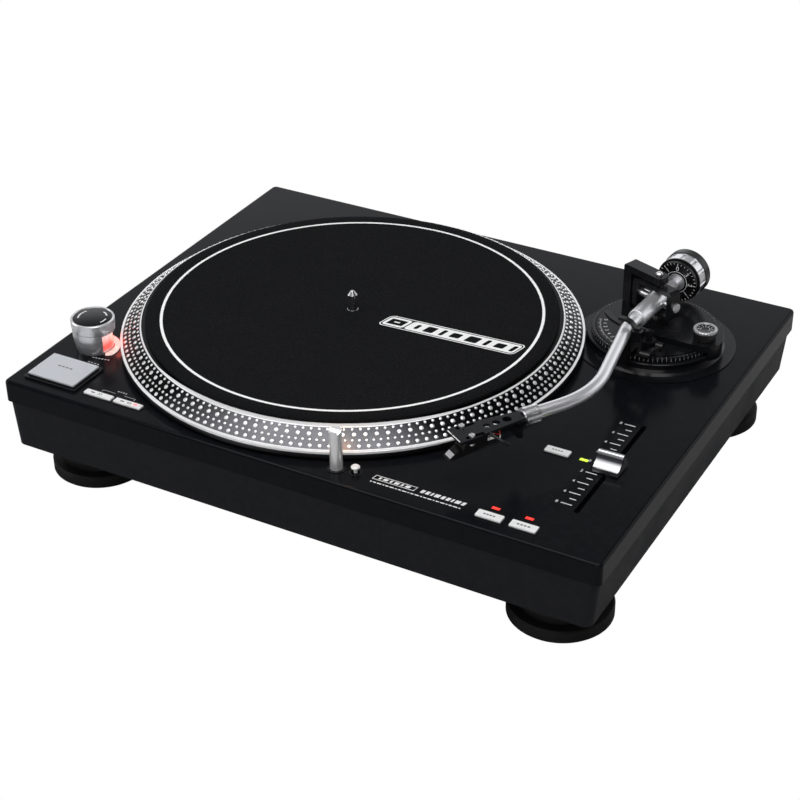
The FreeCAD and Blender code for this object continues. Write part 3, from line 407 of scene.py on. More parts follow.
def platter_metal():
    """Cast platter: dark slope under the dots, polished ring inside it and a bright line at the lip.

    The polished ring and the bright line at the lip carry painted highlights: near-white, barely metallic
    colour.
    On the platter's front side the slope is painted lighter, the ring wider and the lip thicker, all
    painted highlight that turns with the platter; the side wall is painted darker towards its foot, as
    painted shade.
    """
    s = Shader("platter_metal", (0.5, 0.5, 0.52), 0.3, 1.0)
    r = s.radius(SPINDLE)
    z = s.height()
    # Painted highlight on the front side: slope lighter, ring wider and lip thicker towards this
    # direction.
    way = Vector((0.25, -0.97, 0.0))
    front = s.math("SUBTRACT", s.along(way), way.dot(Vector((*SPINDLE, 0))) * MM)
    painted_light_front = s.spread(front, 0.0, 1.0, 0.128, 0.154)
    highlight_front_spread = s.spread(front, 0.0, 1.0, 0.105, 0.146)
    ring_start = s.spread(highlight_front_spread, 150.3 * MM, 147.0 * MM)
    ring_end = s.spread(r, 1.0, 0.0, 0.15135, 0.15165)
    ring = s.math("MULTIPLY", s.math("GREATER_THAN", r, ring_start), ring_end)
    lip_low = s.spread(highlight_front_spread, 7.1 * MM, 5.4 * MM)
    lip_edge = s.spread(r, 0.0, 1.0, 0.1639, 0.1642)
    lip = s.math("MULTIPLY", lip_edge, s.math("GREATER_THAN", z, lip_low))
    # Ring and lip line: painted highlight, near-white and barely metallic.
    painted_highlight = s.math("MAXIMUM", ring, lip)
    # Slope colour: near-black, painted lighter on the front side as painted highlight.
    dark = s.mix(painted_light_front, (0.006, 0.006, 0.007), (0.13, 0.13, 0.14))
    # Side wall: painted shade, darker towards its foot.
    rise = s.spread(z, 0.0, 1.0, 0.001, 0.0062)
    wall = s.mix(rise, (0.012, 0.012, 0.014), (0.10, 0.10, 0.105))
    base = s.mix(s.spread(r, 0.0, 1.0, 0.1642, 0.1645), dark, wall)
    s.set(**{"Base Color": s.mix(painted_highlight, base, (0.97, 0.97, 0.98)), "Metallic": s.spread(painted_highlight, 1.0, 0.2)})
    tooling = s.math("SINE", s.math("MULTIPLY", r, 9000.0))
    wear = s.spread(s.noise(60), -0.04, 0.04, *NOISE_SPAN)
    s.set(Roughness=s.math("ADD", s.spread(painted_highlight, 0.38, 0.24), wear))
    s.bump(tooling, 0.0012, 0.6)
    return s.bump(s.noise(700), 0.006, 0.3).material


def dot_metal():
    """Bright polished faces of the raised dots."""
    s = Shader("dot_metal", (0.98, 0.98, 0.99), 0.32, 0.9)
    s.uneven_gloss(500, 0.28, 0.38)
    return s.bump(s.noise(2400), 0.004, 0.4).material


def mat_felt():
    """Pressed black felt: tangled short fibres, a soft sheen and a printed white ring."""
    s = Shader("mat_felt", (0.010, 0.010, 0.0105), 0.95, 0.0, 0.04)
    fibre = s.spread(s.math("MULTIPLY", s.noise(1500, 5), s.cells(1100)), 0.0, 1.0, 0.05, 0.45)
    patches = s.spread(s.noise(38, 4), 0.0, 0.35, 0.3, 0.75)
    shade = s.mix(fibre, (0.0020, 0.0022, 0.0025), (0.012, 0.0125, 0.0138))
    shade = s.mix(patches, shade, (0.0048, 0.0052, 0.0060))
    ragged = s.spread(s.noise(1600, 2), -0.00012, 0.00012, *NOISE_SPAN)
    line = s.between(s.math("ADD", s.radius(SPINDLE), ragged), 135.0, 137.0)
    s.set(**{"Base Color": s.mix(line, shade, (0.96, 0.96, 0.96))})
    s.set(Sheen_Weight=0.012, Sheen_Roughness=0.6)
    s.bump(s.noise(900, 5), 0.35, 0.55)
    return s.bump(s.cells(1500), 0.12, 0.4).material


def felt_print():
    """Thick white ink soaked into felt."""
    s = Shader("felt_print", (0.78, 0.78, 0.78), 0.8, 0.0, 0.2)
    soaked = s.spread(s.noise(1500, 4), 0.0, 1.0, 0.35, 0.75)
    s.set(**{"Base Color": s.mix(soaked, (0.98, 0.98, 0.98), (0.80, 0.80, 0.80))})
    return s.bump(s.noise(1400, 4), 0.15, 0.5).material


def deck_print(name="deck_print", color=(0.85, 0.85, 0.86)):
    """Screen-printed ink on the deck."""
    s = Shader(name, color, 0.45, 0.0, 0.3)
    thin = s.spread(s.noise(2600, 3), 0.0, 0.35, 0.4, 0.7)
    s.set(**{"Base Color": s.mix(thin, color, tuple(c * 0.6 for c in color))})
    return s.bump(s.noise(3000, 2), 0.004, 0.5).material


def bright_chrome():
    """Polished plating with faint handling marks."""
    return metal("bright_chrome", (0.94, 0.94, 0.96), 0.30, grain=0.0005, vary=0.015).material


def fluted_weight():
    """Counterweight: a chrome band with black plastic on both sides of it."""
    s = Shader("fluted_weight", (0.94, 0.94, 0.96), 0.29, 1.0)
    way = heading(ROOT_HEADING)
    behind = s.math("ADD", s.along(-way), Vector((*PIVOT, 0)).dot(way) * MM)
    band = s.between(behind, 35.0, 43.9, 0.00008)
    s.set(**{"Base Color": s.mix(band, (0.008, 0.008, 0.009), (0.94, 0.94, 0.96)), "Metallic": band})
    s.uneven_gloss(300, 0.28, 0.31)
    return s.bump(s.noise(1800), 0.002, 0.5).material


def skate_metal():
    """Anti-skate dial: knurled silver rim on a black body."""
    s = Shader("skate_metal", (0.78, 0.78, 0.80), 0.28, 1.0)
    rim = s.spread(s.height(), 0.0, 0.75, 0.0236, 0.0239)
    s.set(**{"Base Color": s.mix(rim, (0.011, 0.011, 0.012), (0.78, 0.78, 0.80)), "Metallic": rim})
    s.uneven_gloss(400, 0.29, 0.36)
    return s.bump(s.noise(1500), 0.001, 0.5).material


def slider_metal():
    """Pitch slider: polished silver, with a dark band of painted shade across its concave front, where it
    turns away from the light.
    """
    s = metal("slider_metal", (0.9, 0.9, 0.92), 0.30, grain=0.0002, scale=500, vary=0.015)
    z, y = s.height(), s.axis("Y")
    # Painted shade: a dark band between these heights, on the slider's front side only.
    above = s.spread(z, 0.0, 1.0, 0.0046, 0.0080)
    below = s.spread(z, 1.0, 0.0, 0.0098, 0.0110)
    middle = spot("pitch_slider")[1] * MM
    painted_light_front = s.spread(y, 1.0, 0.0, middle + 0.0006, middle + 0.0016)
    band = s.math("MULTIPLY", s.math("MULTIPLY", above, below), painted_light_front)
    s.set(**{"Base Color": s.mix(band, (0.72, 0.72, 0.74), (0.09, 0.09, 0.10))})
    return s.material


def matte_black():
    """Dull black plastic of the cartridge and stylus."""
    return painted("matte_black", (0.007, 0.007, 0.0075), 0.42, 0.15, grain=0.008, scale=1800).material


def silver_satin():
    """Satin anodised aluminium."""
    s = metal("silver_satin", (0.92, 0.92, 0.95), 0.31, grain=0.0002, scale=500, vary=0.015)
    return s.set(Metallic=0.80).material


def lamp_silver():
    """Drawn tube of the target lamp, brushed along its length."""
    s = metal("lamp_silver", (0.99, 0.99, 1.0), 0.30, grain=0.0005, stretch=(1, 1, 0.05), scale=2200,
              vary=0.02)
    return s.set(Metallic=0.65).material


def steel():
    """Plain machined steel."""
    return metal("steel", (0.56, 0.56, 0.58), 0.26, grain=0.003).material


def silver_cap():
    """Silver painted key caps with dark sides; the big start key is higher and a little greyer."""
    s = Shader("silver_cap", (0.8, 0.8, 0.82), 0.34, 0.4, 0.5)
    z = s.height()
    big = s.spread(s.radius((STROBE[0], STROBE[1] - 40.0)), 1.0, 0.0, 0.030, 0.0301)
    dark_low = s.mix(s.spread(z, 0.0, 1.0, 0.0003, 0.0006), (0.012, 0.012, 0.012), (0.95, 0.95, 0.95))
    dark_high = s.mix(s.spread(z, 0.0, 1.0, 0.0024, 0.0027), (0.012, 0.012, 0.012), (0.60, 0.62, 0.66))
    s.set(**{"Base Color": s.mix(big, dark_low, dark_high)})
    s.set(Metallic=s.spread(z, 0.0, 0.15, 0.0003, 0.0012))
    s.uneven_gloss(500, 0.30, 0.40)
    return s.bump(s.noise(3800, 2), 0.003, 0.6).material


def lens(name, color, glow, strength):
    """Clear coloured plastic lit from behind, a little unevenly."""
    s = Shader(name, color, 0.18, 0.0, 0.5)
    s.set(Emission_Color=(*glow, 1.0))
    s.set(Emission_Strength=s.spread(s.noise(600), strength * 0.8, strength * 1.2, *NOISE_SPAN))
    return s.bump(s.noise(900), 0.01, 0.4).material


def lens_mixed():
    """The deck's three indicator lights: two red at the front, one green-yellow by the slider."""
    s = Shader("lens_mixed", (0.5, 0.05, 0.03), 0.2, 0.0, 0.5)
    back = s.spread(s.axis("Y"), 0.0, 1.0, -0.101, -0.099)
    s.set(**{"Base Color": s.mix(back, (0.75, 0.04, 0.03), (0.45, 0.60, 0.05))})
    s.set(Emission_Color=s.mix(back, (1.0, 0.04, 0.03), (0.55, 0.85, 0.05)))
    s.set(Emission_Strength=s.spread(s.noise(700), 0.8, 1.3, *NOISE_SPAN))
    return s.bump(s.noise(900), 0.01, 0.4).material


def strobe_lens():
    """Strobe window: white-pink at the top and along the lip, red below."""
    s = Shader("strobe_lens", (0.8, 0.2, 0.15), 0.25, 0.0, 0.5)
    z = s.height()
    low = s.mix(s.spread(z, 0.0, 1.0, 0.0012, 0.0026), (1.0, 0.78, 0.74), (0.80, 0.09, 0.08))
    s.set(Emission_Color=s.mix(s.spread(z, 0.0, 1.0, 0.0060, 0.0130), low, (1.0, 0.72, 0.68)))
    s.set(Emission_Strength=s.spread(s.noise(420), 0.70, 1.05, *NOISE_SPAN))
    return s.bump(s.noise(800), 0.02, 0.4).material


def coil_copper():
    """Enamelled wire, wound in layers."""
    s = metal("copper_coil", (0.55, 0.24, 0.10), 0.3)
    return s.bump(s.math("SINE", s.math("MULTIPLY", s.height(), 14000.0)), 0.1).material


def simple_materials():
    """Finishes of pieces that are mostly out of sight."""
    return {
        "ferrite": painted("ferrite", (0.03, 0.03, 0.032), 0.6, 0.3, grain=0.03, scale=1800).material,
        "board_green": painted("board_green", (0.02, 0.10, 0.05), 0.35, 0.4, scale=900).material,
        "gold_contact": metal("gold_contact", (0.75, 0.55, 0.22), 0.2).material,
        "copper_coil": coil_copper(),
        "steel": steel(),
    }


MATERIALS = {
    "deck_black": deck_black(), "body_black": body_black(), "trim_black": trim_black(),
    "arm_black": arm_black(), "foot_rubber": foot_rubber(), "platter_metal": platter_metal(),
    "mat_felt": mat_felt(), "bright_chrome": bright_chrome(), "silver_satin": silver_satin(),
    "silver_cap": silver_cap(), "red_lens": strobe_lens(), "lens_mixed": lens_mixed(),
    "lamp_silver": lamp_silver(), **simple_materials(),
}
DULL = matte_black()
SPECIAL = {
    "counterweight": fluted_weight(), "anti_skate_dial": skate_metal(),
    "pitch_slider": slider_metal(), "cartridge": DULL, "stylus": DULL,
    "finger_lift": MATERIALS["trim_black"],
}
INK = deck_print()
FAINT_INK = deck_print("faint_ink", (0.42, 0.42, 0.44))
DARK_INK = deck_print("dark_ink", (0.02, 0.02, 0.022))


def dress_frame():
    """Give every CAD node the finish of its slot, or its own where it has one."""
    for part in frame["record"]["subparts"]:
        node = frame["nodes"][part["node"]]
        material = SPECIAL.get(part["node"], MATERIALS[part["material_slot"]])
        for holder in node.material_slots:
            holder.material = material


# ---- platter ----------------------------------------------------------------------------------
SLOPE_IN, SLOPE_OUT = (151.2, 17.2), (164.3, 7.5)       # radius and height of the slope's edges
DOT_ROWS = ((0.12, 180, 2.15), (0.34, 133, 3.25), (0.585, 216, 2.1), (0.83, 160, 2.95))
DOME = ((1.0, -0.05), (0.95, 0.26), (0.72, 0.44), (0.38, 0.5))      # share of width, and rise
DOME_TOP = 0.52


def make_strobe_dots():
    """Four rows of low round domes on the platter's slope.

    A row is its place across the slope from 0 to 1, its number of dots and their width.
    """
    batch = Batch()
    sides = 12
    across = Vector((SLOPE_OUT[0] - SLOPE_IN[0], 0, SLOPE_OUT[1] - SLOPE_IN[1])).normalized()
    out = Vector((-across.z, 0, across.x))
    for fraction, count, width in DOT_ROWS:
        r = SLOPE_IN[0] + (SLOPE_OUT[0] - SLOPE_IN[0]) * fraction
        z = SLOPE_IN[1] + (SLOPE_OUT[1] - SLOPE_IN[1]) * fraction
        for step in range(count):
            turn = Matrix.Rotation(2 * math.pi * step / count, 4, "Z")
            place = Matrix.Translation((SPINDLE[0], SPINDLE[1], 0)) @ turn
            base = Vector((r, 0, z))
            points = []
            for scale, rise in DOME:
                reach = width / 2 * scale
                for k in range(sides):
                    a = 2 * math.pi * k / sides
                    aside = Vector((0, reach * math.sin(a), 0))
                    points.append(base + across * reach * math.cos(a) + aside + out * rise)
            points.append(base + out * DOME_TOP)
            faces = []
            for layer in range(3):
                for k in range(sides):
                    m = (k + 1) % sides
                    faces.append([layer * sides + k, layer * sides + m, (layer + 1) * sides + m,
                                  (layer + 1) * sides + k])
            faces += [[3 * sides + k, 3 * sides + (k + 1) % sides, 4 * sides] for k in range(sides)]
            batch.add(points, faces, place)
    return batch.finish("strobe_dots", "platter_group", dot_metal(), smooth=60)


def make_mat():
    """Felt slipmat with a soft edge, laid on the platter."""
    hole, sides = 3.9, 256
    rings = [(hole, MAT_TOP - 0.5), (hole, MAT_TOP - 0.05), (hole + 0.3, MAT_TOP + 0.05),
             (5.6, MAT_TOP + 0.05)]
    steps = 30
    for i in range(1, steps):
        rings.append((6.0 + (MAT_R - 7.0) * i / steps, MAT_TOP))
    rings += [(MAT_R - 0.7, MAT_TOP - 0.05), (MAT_R - 0.2, MAT_TOP - 0.35), (MAT_R, MAT_TOP - 1.0),
              (MAT_R, MAT_LOW + 0.3), (MAT_R - 0.4, MAT_LOW + 0.02)]
    batch = Batch()
    points, faces, n = [], [], len(rings)
    for i in range(sides):
        a = 2 * math.pi * i / sides
        for r, z in rings:
            sway = 0.05 * math.sin(3 * a + r * 0.03) + 0.04 * math.sin(7 * a - r * 0.05)
            flat = 1.0 if 6.0 < r < MAT_R - 1 else 0.0
            edge = 0.12 * math.sin(23 * a) * math.sin(9 * a) if r > MAT_R - 1 else 0.0
            points.append((SPINDLE[0] + (r + edge) * math.cos(a), SPINDLE[1] + (r + edge) * math.sin(a),
                           z - abs(sway) * flat))
    for i in range(sides):
        j = (i + 1) % sides
        for k in range(n):
            m = (k + 1) % n
            faces.append([n * i + k, n * j + k, n * j + m, n * i + m])
    batch.add(points, faces)
    mat = batch.finish("felt_mat", "platter_group", MATERIALS["mat_felt"], smooth=40)
    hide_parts("slipmat")
    return mat


BADGE = (35.8, -5.6)
BADGE_SIZE = (107.0, 15.6)
BADGE_TURN = 3.3


def slanted(x0, x1, y0, y1, lean):
    """Outline of a bar that leans to the right as it goes up."""
    return [(x0 + lean * y0, y0), (x1 + lean * y0, y0), (x1 + lean * y1, y1), (x0 + lean * y1, y1)]


def outlined(batch, x0, x1, y0, y1, line, lean, z, thick, place):
    """Leaning frame made of four bars."""
    for a, b, c, d in ((x0, x1, y0, y0 + line), (x0, x1, y1 - line, y1),
                       (x0, x0 + line, y0 + line, y1 - line), (x1 - line, x1, y0 + line, y1 - line)):
        batch.slab(slanted(a, b, c, d, lean), z, thick, place)


def rounded_leaning(half_w, half_h, corner, lean):
    """Outline of a leaning box with rounded corners, about its middle."""
    outline = []
    for turn, (sx, sy) in enumerate(((1, -1), (1, 1), (-1, 1), (-1, -1))):
        for step in range(6):
            a = math.radians(-90 + 90 * turn + 18 * step)
            x = sx * (half_w - corner) + corner * math.cos(a)
            y = sy * (half_h - corner) + corner * math.sin(a)
            outline.append((x + lean * y, y))
    return outline


def framed(batch, middle, half_w, half_h, corner, line, lean, z, thick, place):
    """Closed band of even width along a rounded, leaning outline."""
    outer = rounded_leaning(half_w, half_h, corner, lean)
    inner = rounded_leaning(half_w - line, half_h - line, max(corner - line, 0.2), lean)
    n = len(outer)
    points = [(x + middle, y, h) for h in (z, z + thick) for ring in (outer, inner) for x, y in ring]
    faces = []
    for i in range(n):
        j = (i + 1) % n
        faces += [[2 * n + i, 2 * n + j, 3 * n + j, 3 * n + i], [i, n + i, n + j, j],
                  [i, j, 2 * n + j, 2 * n + i], [n + i, 3 * n + i, 3 * n + j, n + j]]
    batch.add(points, faces, place)


def make_mat_badge():
    """Generic badge printed on the felt: white panels in an outline, with dark upright bars."""
    place = Matrix.Translation((BADGE[0], BADGE[1], 0)) @ Matrix.Rotation(math.radians(BADGE_TURN), 4, "Z")
    w, h, z, lean = BADGE_SIZE[0] / 2, BADGE_SIZE[1] / 2, MAT_TOP - 0.02, 0.30
    white = Batch()
    framed(white, 0, w - 2.0, h, 3.6, 0.8, lean, z, 0.05, place)
    panel_w, cell_w = 41.2, 8.2
    middle = w - 3.6 - panel_w
    white.slab([(x + middle, y) for x, y in rounded_leaning(panel_w, h - 1.7, 2.4, lean)], z, 0.05, place)
    framed(white, -w + 3.6 + cell_w, cell_w, h - 1.7, 2.6, 2.2, lean, z, 0.05, place)
    white.slab(slanted(-w + 9.6, -w + 14.0, -0.7, 0.7, lean), z, 0.05, place)
    badge = white.finish("mat_badge", "platter_group", felt_print())
    dark = Batch()
    widths = (3.0, 7.4, 3.0, 7.4, 9.2, 3.0, 7.4, 3.0)
    x = middle - panel_w + 5.2
    for count, width in enumerate(widths):
        tall = 4.0 if count % 3 else 3.2
        dark.slab([(px + x + width / 2, py) for px, py in rounded_leaning(width / 2, tall, 1.0, lean)],
                  z + 0.05, 0.02, place)
        x += width + 4.6
    dark.finish("mat_badge_bars", "platter_group", MATERIALS["mat_felt"])
    return badge


# ---- printed marks ----------------------------------------------------------------------------
PRINT = 0.03                    # thickness of the ink
TICK_END = 183.8                # the pitch scale's ticks end here, beside the slot
LONG_TICK, SHORT_TICK = 7.6, 4.4
DIGIT_X = 173.4
FRONT_PRINT = (94.0, -157.6)
KEY_BRACKET = (-155.8, -128.7)  # ends of the printed bracket behind the speed keys
BRACKET_GAP = (-145.5, -138.0)  # and of the gap in it


def make_pitch_marks():
    """Scale beside the pitch slider: long ticks with digits and short ticks between them."""
    batch = Batch()
    step, count = 6.33, 17
    for i in range(count):
        y = SLOT_Y + 1.15 + step * (count // 2 - i)
        long_tick = i % 2 == 0
        start = TICK_END - (LONG_TICK if long_tick else SHORT_TICK)
        batch.bar(start, TICK_END, y - 0.36, y + 0.36, 0, PRINT)
        if long_tick:
            value = abs(i - count // 2)
            batch.text(str(value), 3.7, Matrix.Translation((DIGIT_X, y, 0)), PRINT)
    return batch.finish("pitch_marks", "plinth", INK)


def make_front_print():
    """Generic printed strip at the middle of the front edge."""
    batch = Batch()
    place = Matrix.Translation((*FRONT_PRINT, 0))
    outlined(batch, -34.0, -4.0, -2.2, 2.6, 0.5, 0.22, 0, PRINT, place)
    x = -30.4
    for width in (1.6, 3.2, 1.6, 3.2, 1.6, 3.2):
        batch.slab(slanted(x, x + width, -1.0, 1.4, 0.22), 0, PRINT, place)
        x += width + 1.6
    x = 0.0
    for width in (2.4, 2.4, 1.4, 3.4, 2.4, 2.4, 1.4, 3.4, 2.4):
        batch.slab(slanted(x, x + width, -1.6, 1.8, 0.22), 0, PRINT, place)
        x += width + 1.2
    x = -34.0
    for count in range(22):
        width = 1.3 + 0.9 * ((count * 7) % 3)
        batch.bar(x, x + width, -5.7, -4.7, 0, PRINT, place)
        x += width + 0.8
    return batch.finish("front_print", "plinth", INK)


def make_button_marks():
    """Small brackets and marks behind the speed keys and by the strobe tower."""
    batch = Batch()
    y = SPEED_33[1] + 7.9
    left, right = KEY_BRACKET
    batch.bar(left, BRACKET_GAP[0], y - 0.2, y + 0.2, 0, PRINT)
    batch.bar(BRACKET_GAP[1], right, y - 0.2, y + 0.2, 0, PRINT)
    batch.bar(left, left + 0.4, y - 2.0, y, 0, PRINT)
    batch.bar(right - 0.4, right, y - 2.0, y, 0, PRINT)
    for i in range(4):
        batch.bar(-145.6 + 2.1 * i, -144.3 + 2.1 * i, y + 2.3, y + 3.5, 0, PRINT)
    for i in range(6):
        batch.bar(-189.0 + 2.3 * i, -187.4 + 2.3 * i, -122.0 + 0.4 * i, -120.8 + 0.4 * i, 0, PRINT)
    for i in range(4):
        batch.bar(-188.0 + 2.6 * i, -186.4 + 2.6 * i, -128.2, -127.2, 0, PRINT)
    return batch.finish("button_marks", "plinth", FAINT_INK)


def make_speed_digits():
    """Dark digits on the two speed keys."""
    for name, key, digits in (("digits_33", SPEED_33, "33"), ("digits_45", SPEED_45, "45")):
        batch = Batch()
        batch.text(digits, 3.6, Matrix.Translation((key[0] + 0.8, key[1], key[2])), 0.02)
        batch.bar(key[0] - 6.4, key[0] - 3.4, key[1] - 0.5, key[1] + 0.5, key[2], 0.02)
        batch.finish(name, "speed_" + digits + "_button", DARK_INK)


def make_key_marks():
    """Short dark dashes on the silver keys, in place of their words."""
    for node, width, height in (("start_stop_button", 13.0, 1.3), ("pitch_reset_button", 8.0, 1.0),
                                ("reverse_button", 8.6, 1.2), ("pitch_range_button", 9.6, 1.2)):
        x, y, top = spot(node)
        batch = Batch()
        middle = y + 2.5 if node == "start_stop_button" else y
        pitch = width / 4
        for i in range(4):
            left = x - width / 2 + pitch * i
            batch.bar(left, left + pitch * 0.72, middle - height / 2, middle + height / 2, top, 0.02)
        ink = deck_print(node + "_ink", (0.16, 0.16, 0.17))
        batch.finish(node.replace("_button", "_mark"), node, ink)


# ---- power knob and strobe --------------------------------------------------------------------
def make_knob_top():
    """Black disc let into the knob's top, with three short arcs printed on it."""
    x, y, top = spot("power_knob")
    batch = Batch()
    profile = [(0.0, top - 0.30), (13.2, top - 0.32), (13.85, top - 0.45), (13.85, top - 0.52)]
    batch.turned(profile, Matrix.Translation((x, y, 0)), 96)
    batch.finish("knob_disc", "power_knob", MATERIALS["trim_black"], smooth=30)
    marks = Batch()
    for start, stop in ((-20, 15), (40, 75), (150, 215)):
        marks.arc((x, y), 9.6, 10.6, start, stop, top - 0.33, 0.05)
    return marks.finish("knob_marks", "power_knob", INK)


# ---- tonearm details --------------------------------------------------------------------------
def make_ring_marks():
    """Painted highlight: a light line on each rib of the height ring; and a fine printed scale on its top.
    """
    batch = Batch()
    side, top = 45.0, 12.9
    centre = Matrix.Translation((*PIVOT, 0))
    for i in range(90):
        turn = centre @ Matrix.Rotation(math.radians(4 * i + 2), 4, "Z")
        # Painted highlight: a light line on this rib's side.
        rib = turn @ Matrix.Translation((side - 0.01, 0, 11.3))
        batch.bar(-1.0, 1.1, -0.2, 0.2, 0, 0.04, rib @ Matrix.Rotation(math.radians(90), 4, "Y"))
        batch.bar(43.0, 44.2 if i % 5 == 0 else 43.7, -0.12, 0.12, top - 0.01, PRINT, turn)
    return batch.finish("ring_marks", "height_ring", deck_print("rib_highlight_and_scale_ink", (0.34, 0.34, 0.35)))


def make_plate_marks():
    """Height scale with digits on the arm base plate, on the platter side."""
    batch = Batch()
    top = 13.3
    for i in range(7):
        a = math.radians(-166 + 8 * i)
        place = (Matrix.Translation((PIVOT[0] + 35.6 * math.cos(a), PIVOT[1] + 35.6 * math.sin(a), top))
                 @ Matrix.Rotation(a + math.pi / 2, 4, "Z"))
        batch.text(str(i), 3.6, place, 0.04)
    for i in range(25):
        turn = Matrix.Translation((*PIVOT, 0)) @ Matrix.Rotation(math.radians(-166 + 2 * i), 4, "Z")
        batch.bar(38.4, 40.4 if i % 4 == 0 else 39.4, -0.14, 0.14, top, 0.04, turn)
    return batch.finish("plate_marks", "arm_base", INK)


def make_skate_marks():
    """Dark dish let into the anti-skate dial's top, with ticks and digits on it."""
    x, y, top = spot("anti_skate_dial")
    floor = top - 0.74
    centre = Matrix.Translation((x, y, 0))
    dish = Batch()
    dish.turned([(0.0, floor), (5.6, floor), (6.05, top - 0.6)], centre, 64)
    dish.finish("skate_dish", "anti_skate_dial", MATERIALS["trim_black"], smooth=30)
    batch = Batch()
    for i in range(8):
        a = math.radians(200 - 31 * i)
        batch.bar(4.2, 5.4, -0.16, 0.16, floor, 0.05, centre @ Matrix.Rotation(a, 4, "Z"))
        digit = Matrix.Translation((x + 3.1 * math.cos(a), y + 3.1 * math.sin(a), floor))
        batch.text(str(i), 1.7, digit, 0.05)
    return batch.finish("skate_marks", "anti_skate_dial", INK)


def make_force_marks():
    """Digits and ticks on the stylus force dial's front face."""
    batch = Batch()
    face = ROOT @ Matrix.Translation((0, 30.2, 0)) @ Matrix.Rotation(math.radians(90), 4, "X")
    for i in range(32):
        place = face @ Matrix.Rotation(math.radians(11.25 * i), 4, "Z")
        batch.bar(13.4 if i % 4 else 12.6, 14.7, -0.2, 0.2, -0.01, 0.05, place)
    for i in range(8):
        turn = Matrix.Rotation(math.radians(45 * i), 4, "Z")
        batch.text(str(i % 4), 4.9, face @ turn @ Matrix.Translation((0, 10.3, -0.01)), 0.05)
    batch.arc((0, 0), 7.7, 8.1, 0, 360, -0.01, 0.05, face)
    return batch.finish("force_marks", "force_dial", INK)


def make_leads():
    """Four fine leads from the headshell's neck to the sleeves on the cartridge's pins."""
    colors = (("lead_white", (0.75, 0.75, 0.72)), ("lead_red", (0.60, 0.03, 0.02)),
              ("lead_green", (0.03, 0.32, 0.08)), ("lead_blue", (0.05, 0.12, 0.45)))
    pins = ((3.4, -6.1), (3.4, -2.7), (-3.4, -2.7), (-3.4, -6.1))
    raised = 0.3
    sleeve = painted("lead_sleeve", (0.90, 0.90, 0.88), 0.4, 0.4, grain=0.01).material
    for (name, color), (x, z) in zip(colors, pins):
        s = Shader(name, color, 0.4, 0.0, 0.4)
        s.uneven_gloss(900, 0.35, 0.5)
        s.bump(s.noise(1800), 0.02, 0.5)
        z += raised
        side = 1 if x > 0 else -1
        route = [(x * 0.35, -17.4, -0.4), (x * 0.6, -17.8, -2.2), (x + side * 1.2, -19.4, z - 1.4),
                 (x + side * 0.5, -21.6, z - 0.9), (x, -23.6, z)]
        batch = Batch()
        batch.wire([SHELL @ Vector(p) for p in route], 0.42)
        batch.finish(name, "headshell_group", s.material)
        batch = Batch()
        batch.wire([SHELL @ Vector((x, y, z)) for y in (-23.4, -26.2, -28.6)], 0.95, 10)
        batch.finish(name + "_sleeve", "headshell_group", sleeve)


def make_cartridge_plate():
    """Pale plate on the stylus's sloping nose."""
    batch = Batch()
    place = SHELL @ Matrix.Translation((0, -53.2, -10.54)) @ Matrix.Rotation(math.radians(35), 4, "X")
    batch.bar(-3.3, 3.3, -1.9, 1.9, 0, 0.06, place)
    return batch.finish("nose_plate", "stylus", MATERIALS["silver_satin"])


def make_shell_edge():
    """Painted highlight: a bright line along the headshell's front edge, in white ink colour."""
    batch = Batch()
    place = SHELL @ Matrix.Translation((0, -50.36, 2.03)) @ Matrix.Rotation(math.radians(45), 4, "X")
    for x0, x1 in ((-7.6, -2.2), (-1.4, 7.8)):
        batch.bar(x0, x1, -0.3, 0.3, 0, 0.03, place)
    return batch.finish("shell_highlight", "headshell_group", INK)


def make_key_light():
    """Small red lit corner on the 45 key, showing the chosen speed."""
    x, y, top = SPEED_45
    batch = Batch()
    batch.bar(x + 4.0, x + 7.4, y - 0.6, y + 1.4, top, 0.03)
    glow = lens("key_lens", (0.9, 0.3, 0.3), (1.0, 0.22, 0.22), 0.9)
    return batch.finish("key_light", "speed_45_button", glow)


def make_lamp_led():
    """Small warm light in the lamp's notch."""
    x, y, _ = spot("target_lamp")
    batch = Batch()
    place = Matrix.Translation((x, y + 1.75, 25.1)) @ Matrix.Rotation(math.radians(-90), 4, "X")
    batch.turned([(0.0, 1.2), (0.6, 1.0), (1.0, 0.5), (1.1, 0.0)], place, 20)
    glow = lens("lamp_lens", (0.9, 0.45, 0.1), (1.0, 0.42, 0.08), 9.0)
    return batch.finish("lamp_led", "target_lamp", glow, smooth=60)


# ---- studio -----------------------------------------------------------------------------------
BACKDROP = 1.0
FLOOR_HALF = 6.0


def make_floor():
    """Seamless floor: plain white to the camera, and a dim bounce for everything else."""
    mesh = bpy.data.meshes.new("studio_floor")
    corners = [(x * FLOOR_HALF, y * FLOOR_HALF, 0) for x, y in ((-1, -1), (1, -1), (1, 1), (-1, 1))]
    mesh.from_pydata(corners, [], [(0, 1, 2, 3)])
    floor = bpy.data.objects.new("studio_floor", mesh)
    bpy.context.scene.collection.objects.link(floor)
    material = bpy.data.materials.new("studio_white")
    material.use_nodes = True
    nodes, links = material.node_tree.nodes, material.node_tree.links
    nodes.clear()
    out, mix = nodes.new("ShaderNodeOutputMaterial"), nodes.new("ShaderNodeMixShader")
    path = nodes.new("ShaderNodeLightPath")
    paper, plain = nodes.new("ShaderNodeBsdfDiffuse"), nodes.new("ShaderNodeEmission")
    paper.inputs["Color"].default_value = (0.46, 0.46, 0.46, 1)
    plain.inputs["Color"].default_value = (1, 1, 1, 1)
    plain.inputs["Strength"].default_value = 1.0
    links.new(path.outputs["Is Camera Ray"], mix.inputs[0])
    links.new(paper.outputs[0], mix.inputs[1])
    links.new(plain.outputs[0], mix.inputs[2])
    links.new(mix.outputs[0], out.inputs["Surface"])
    mesh.materials.append(material)


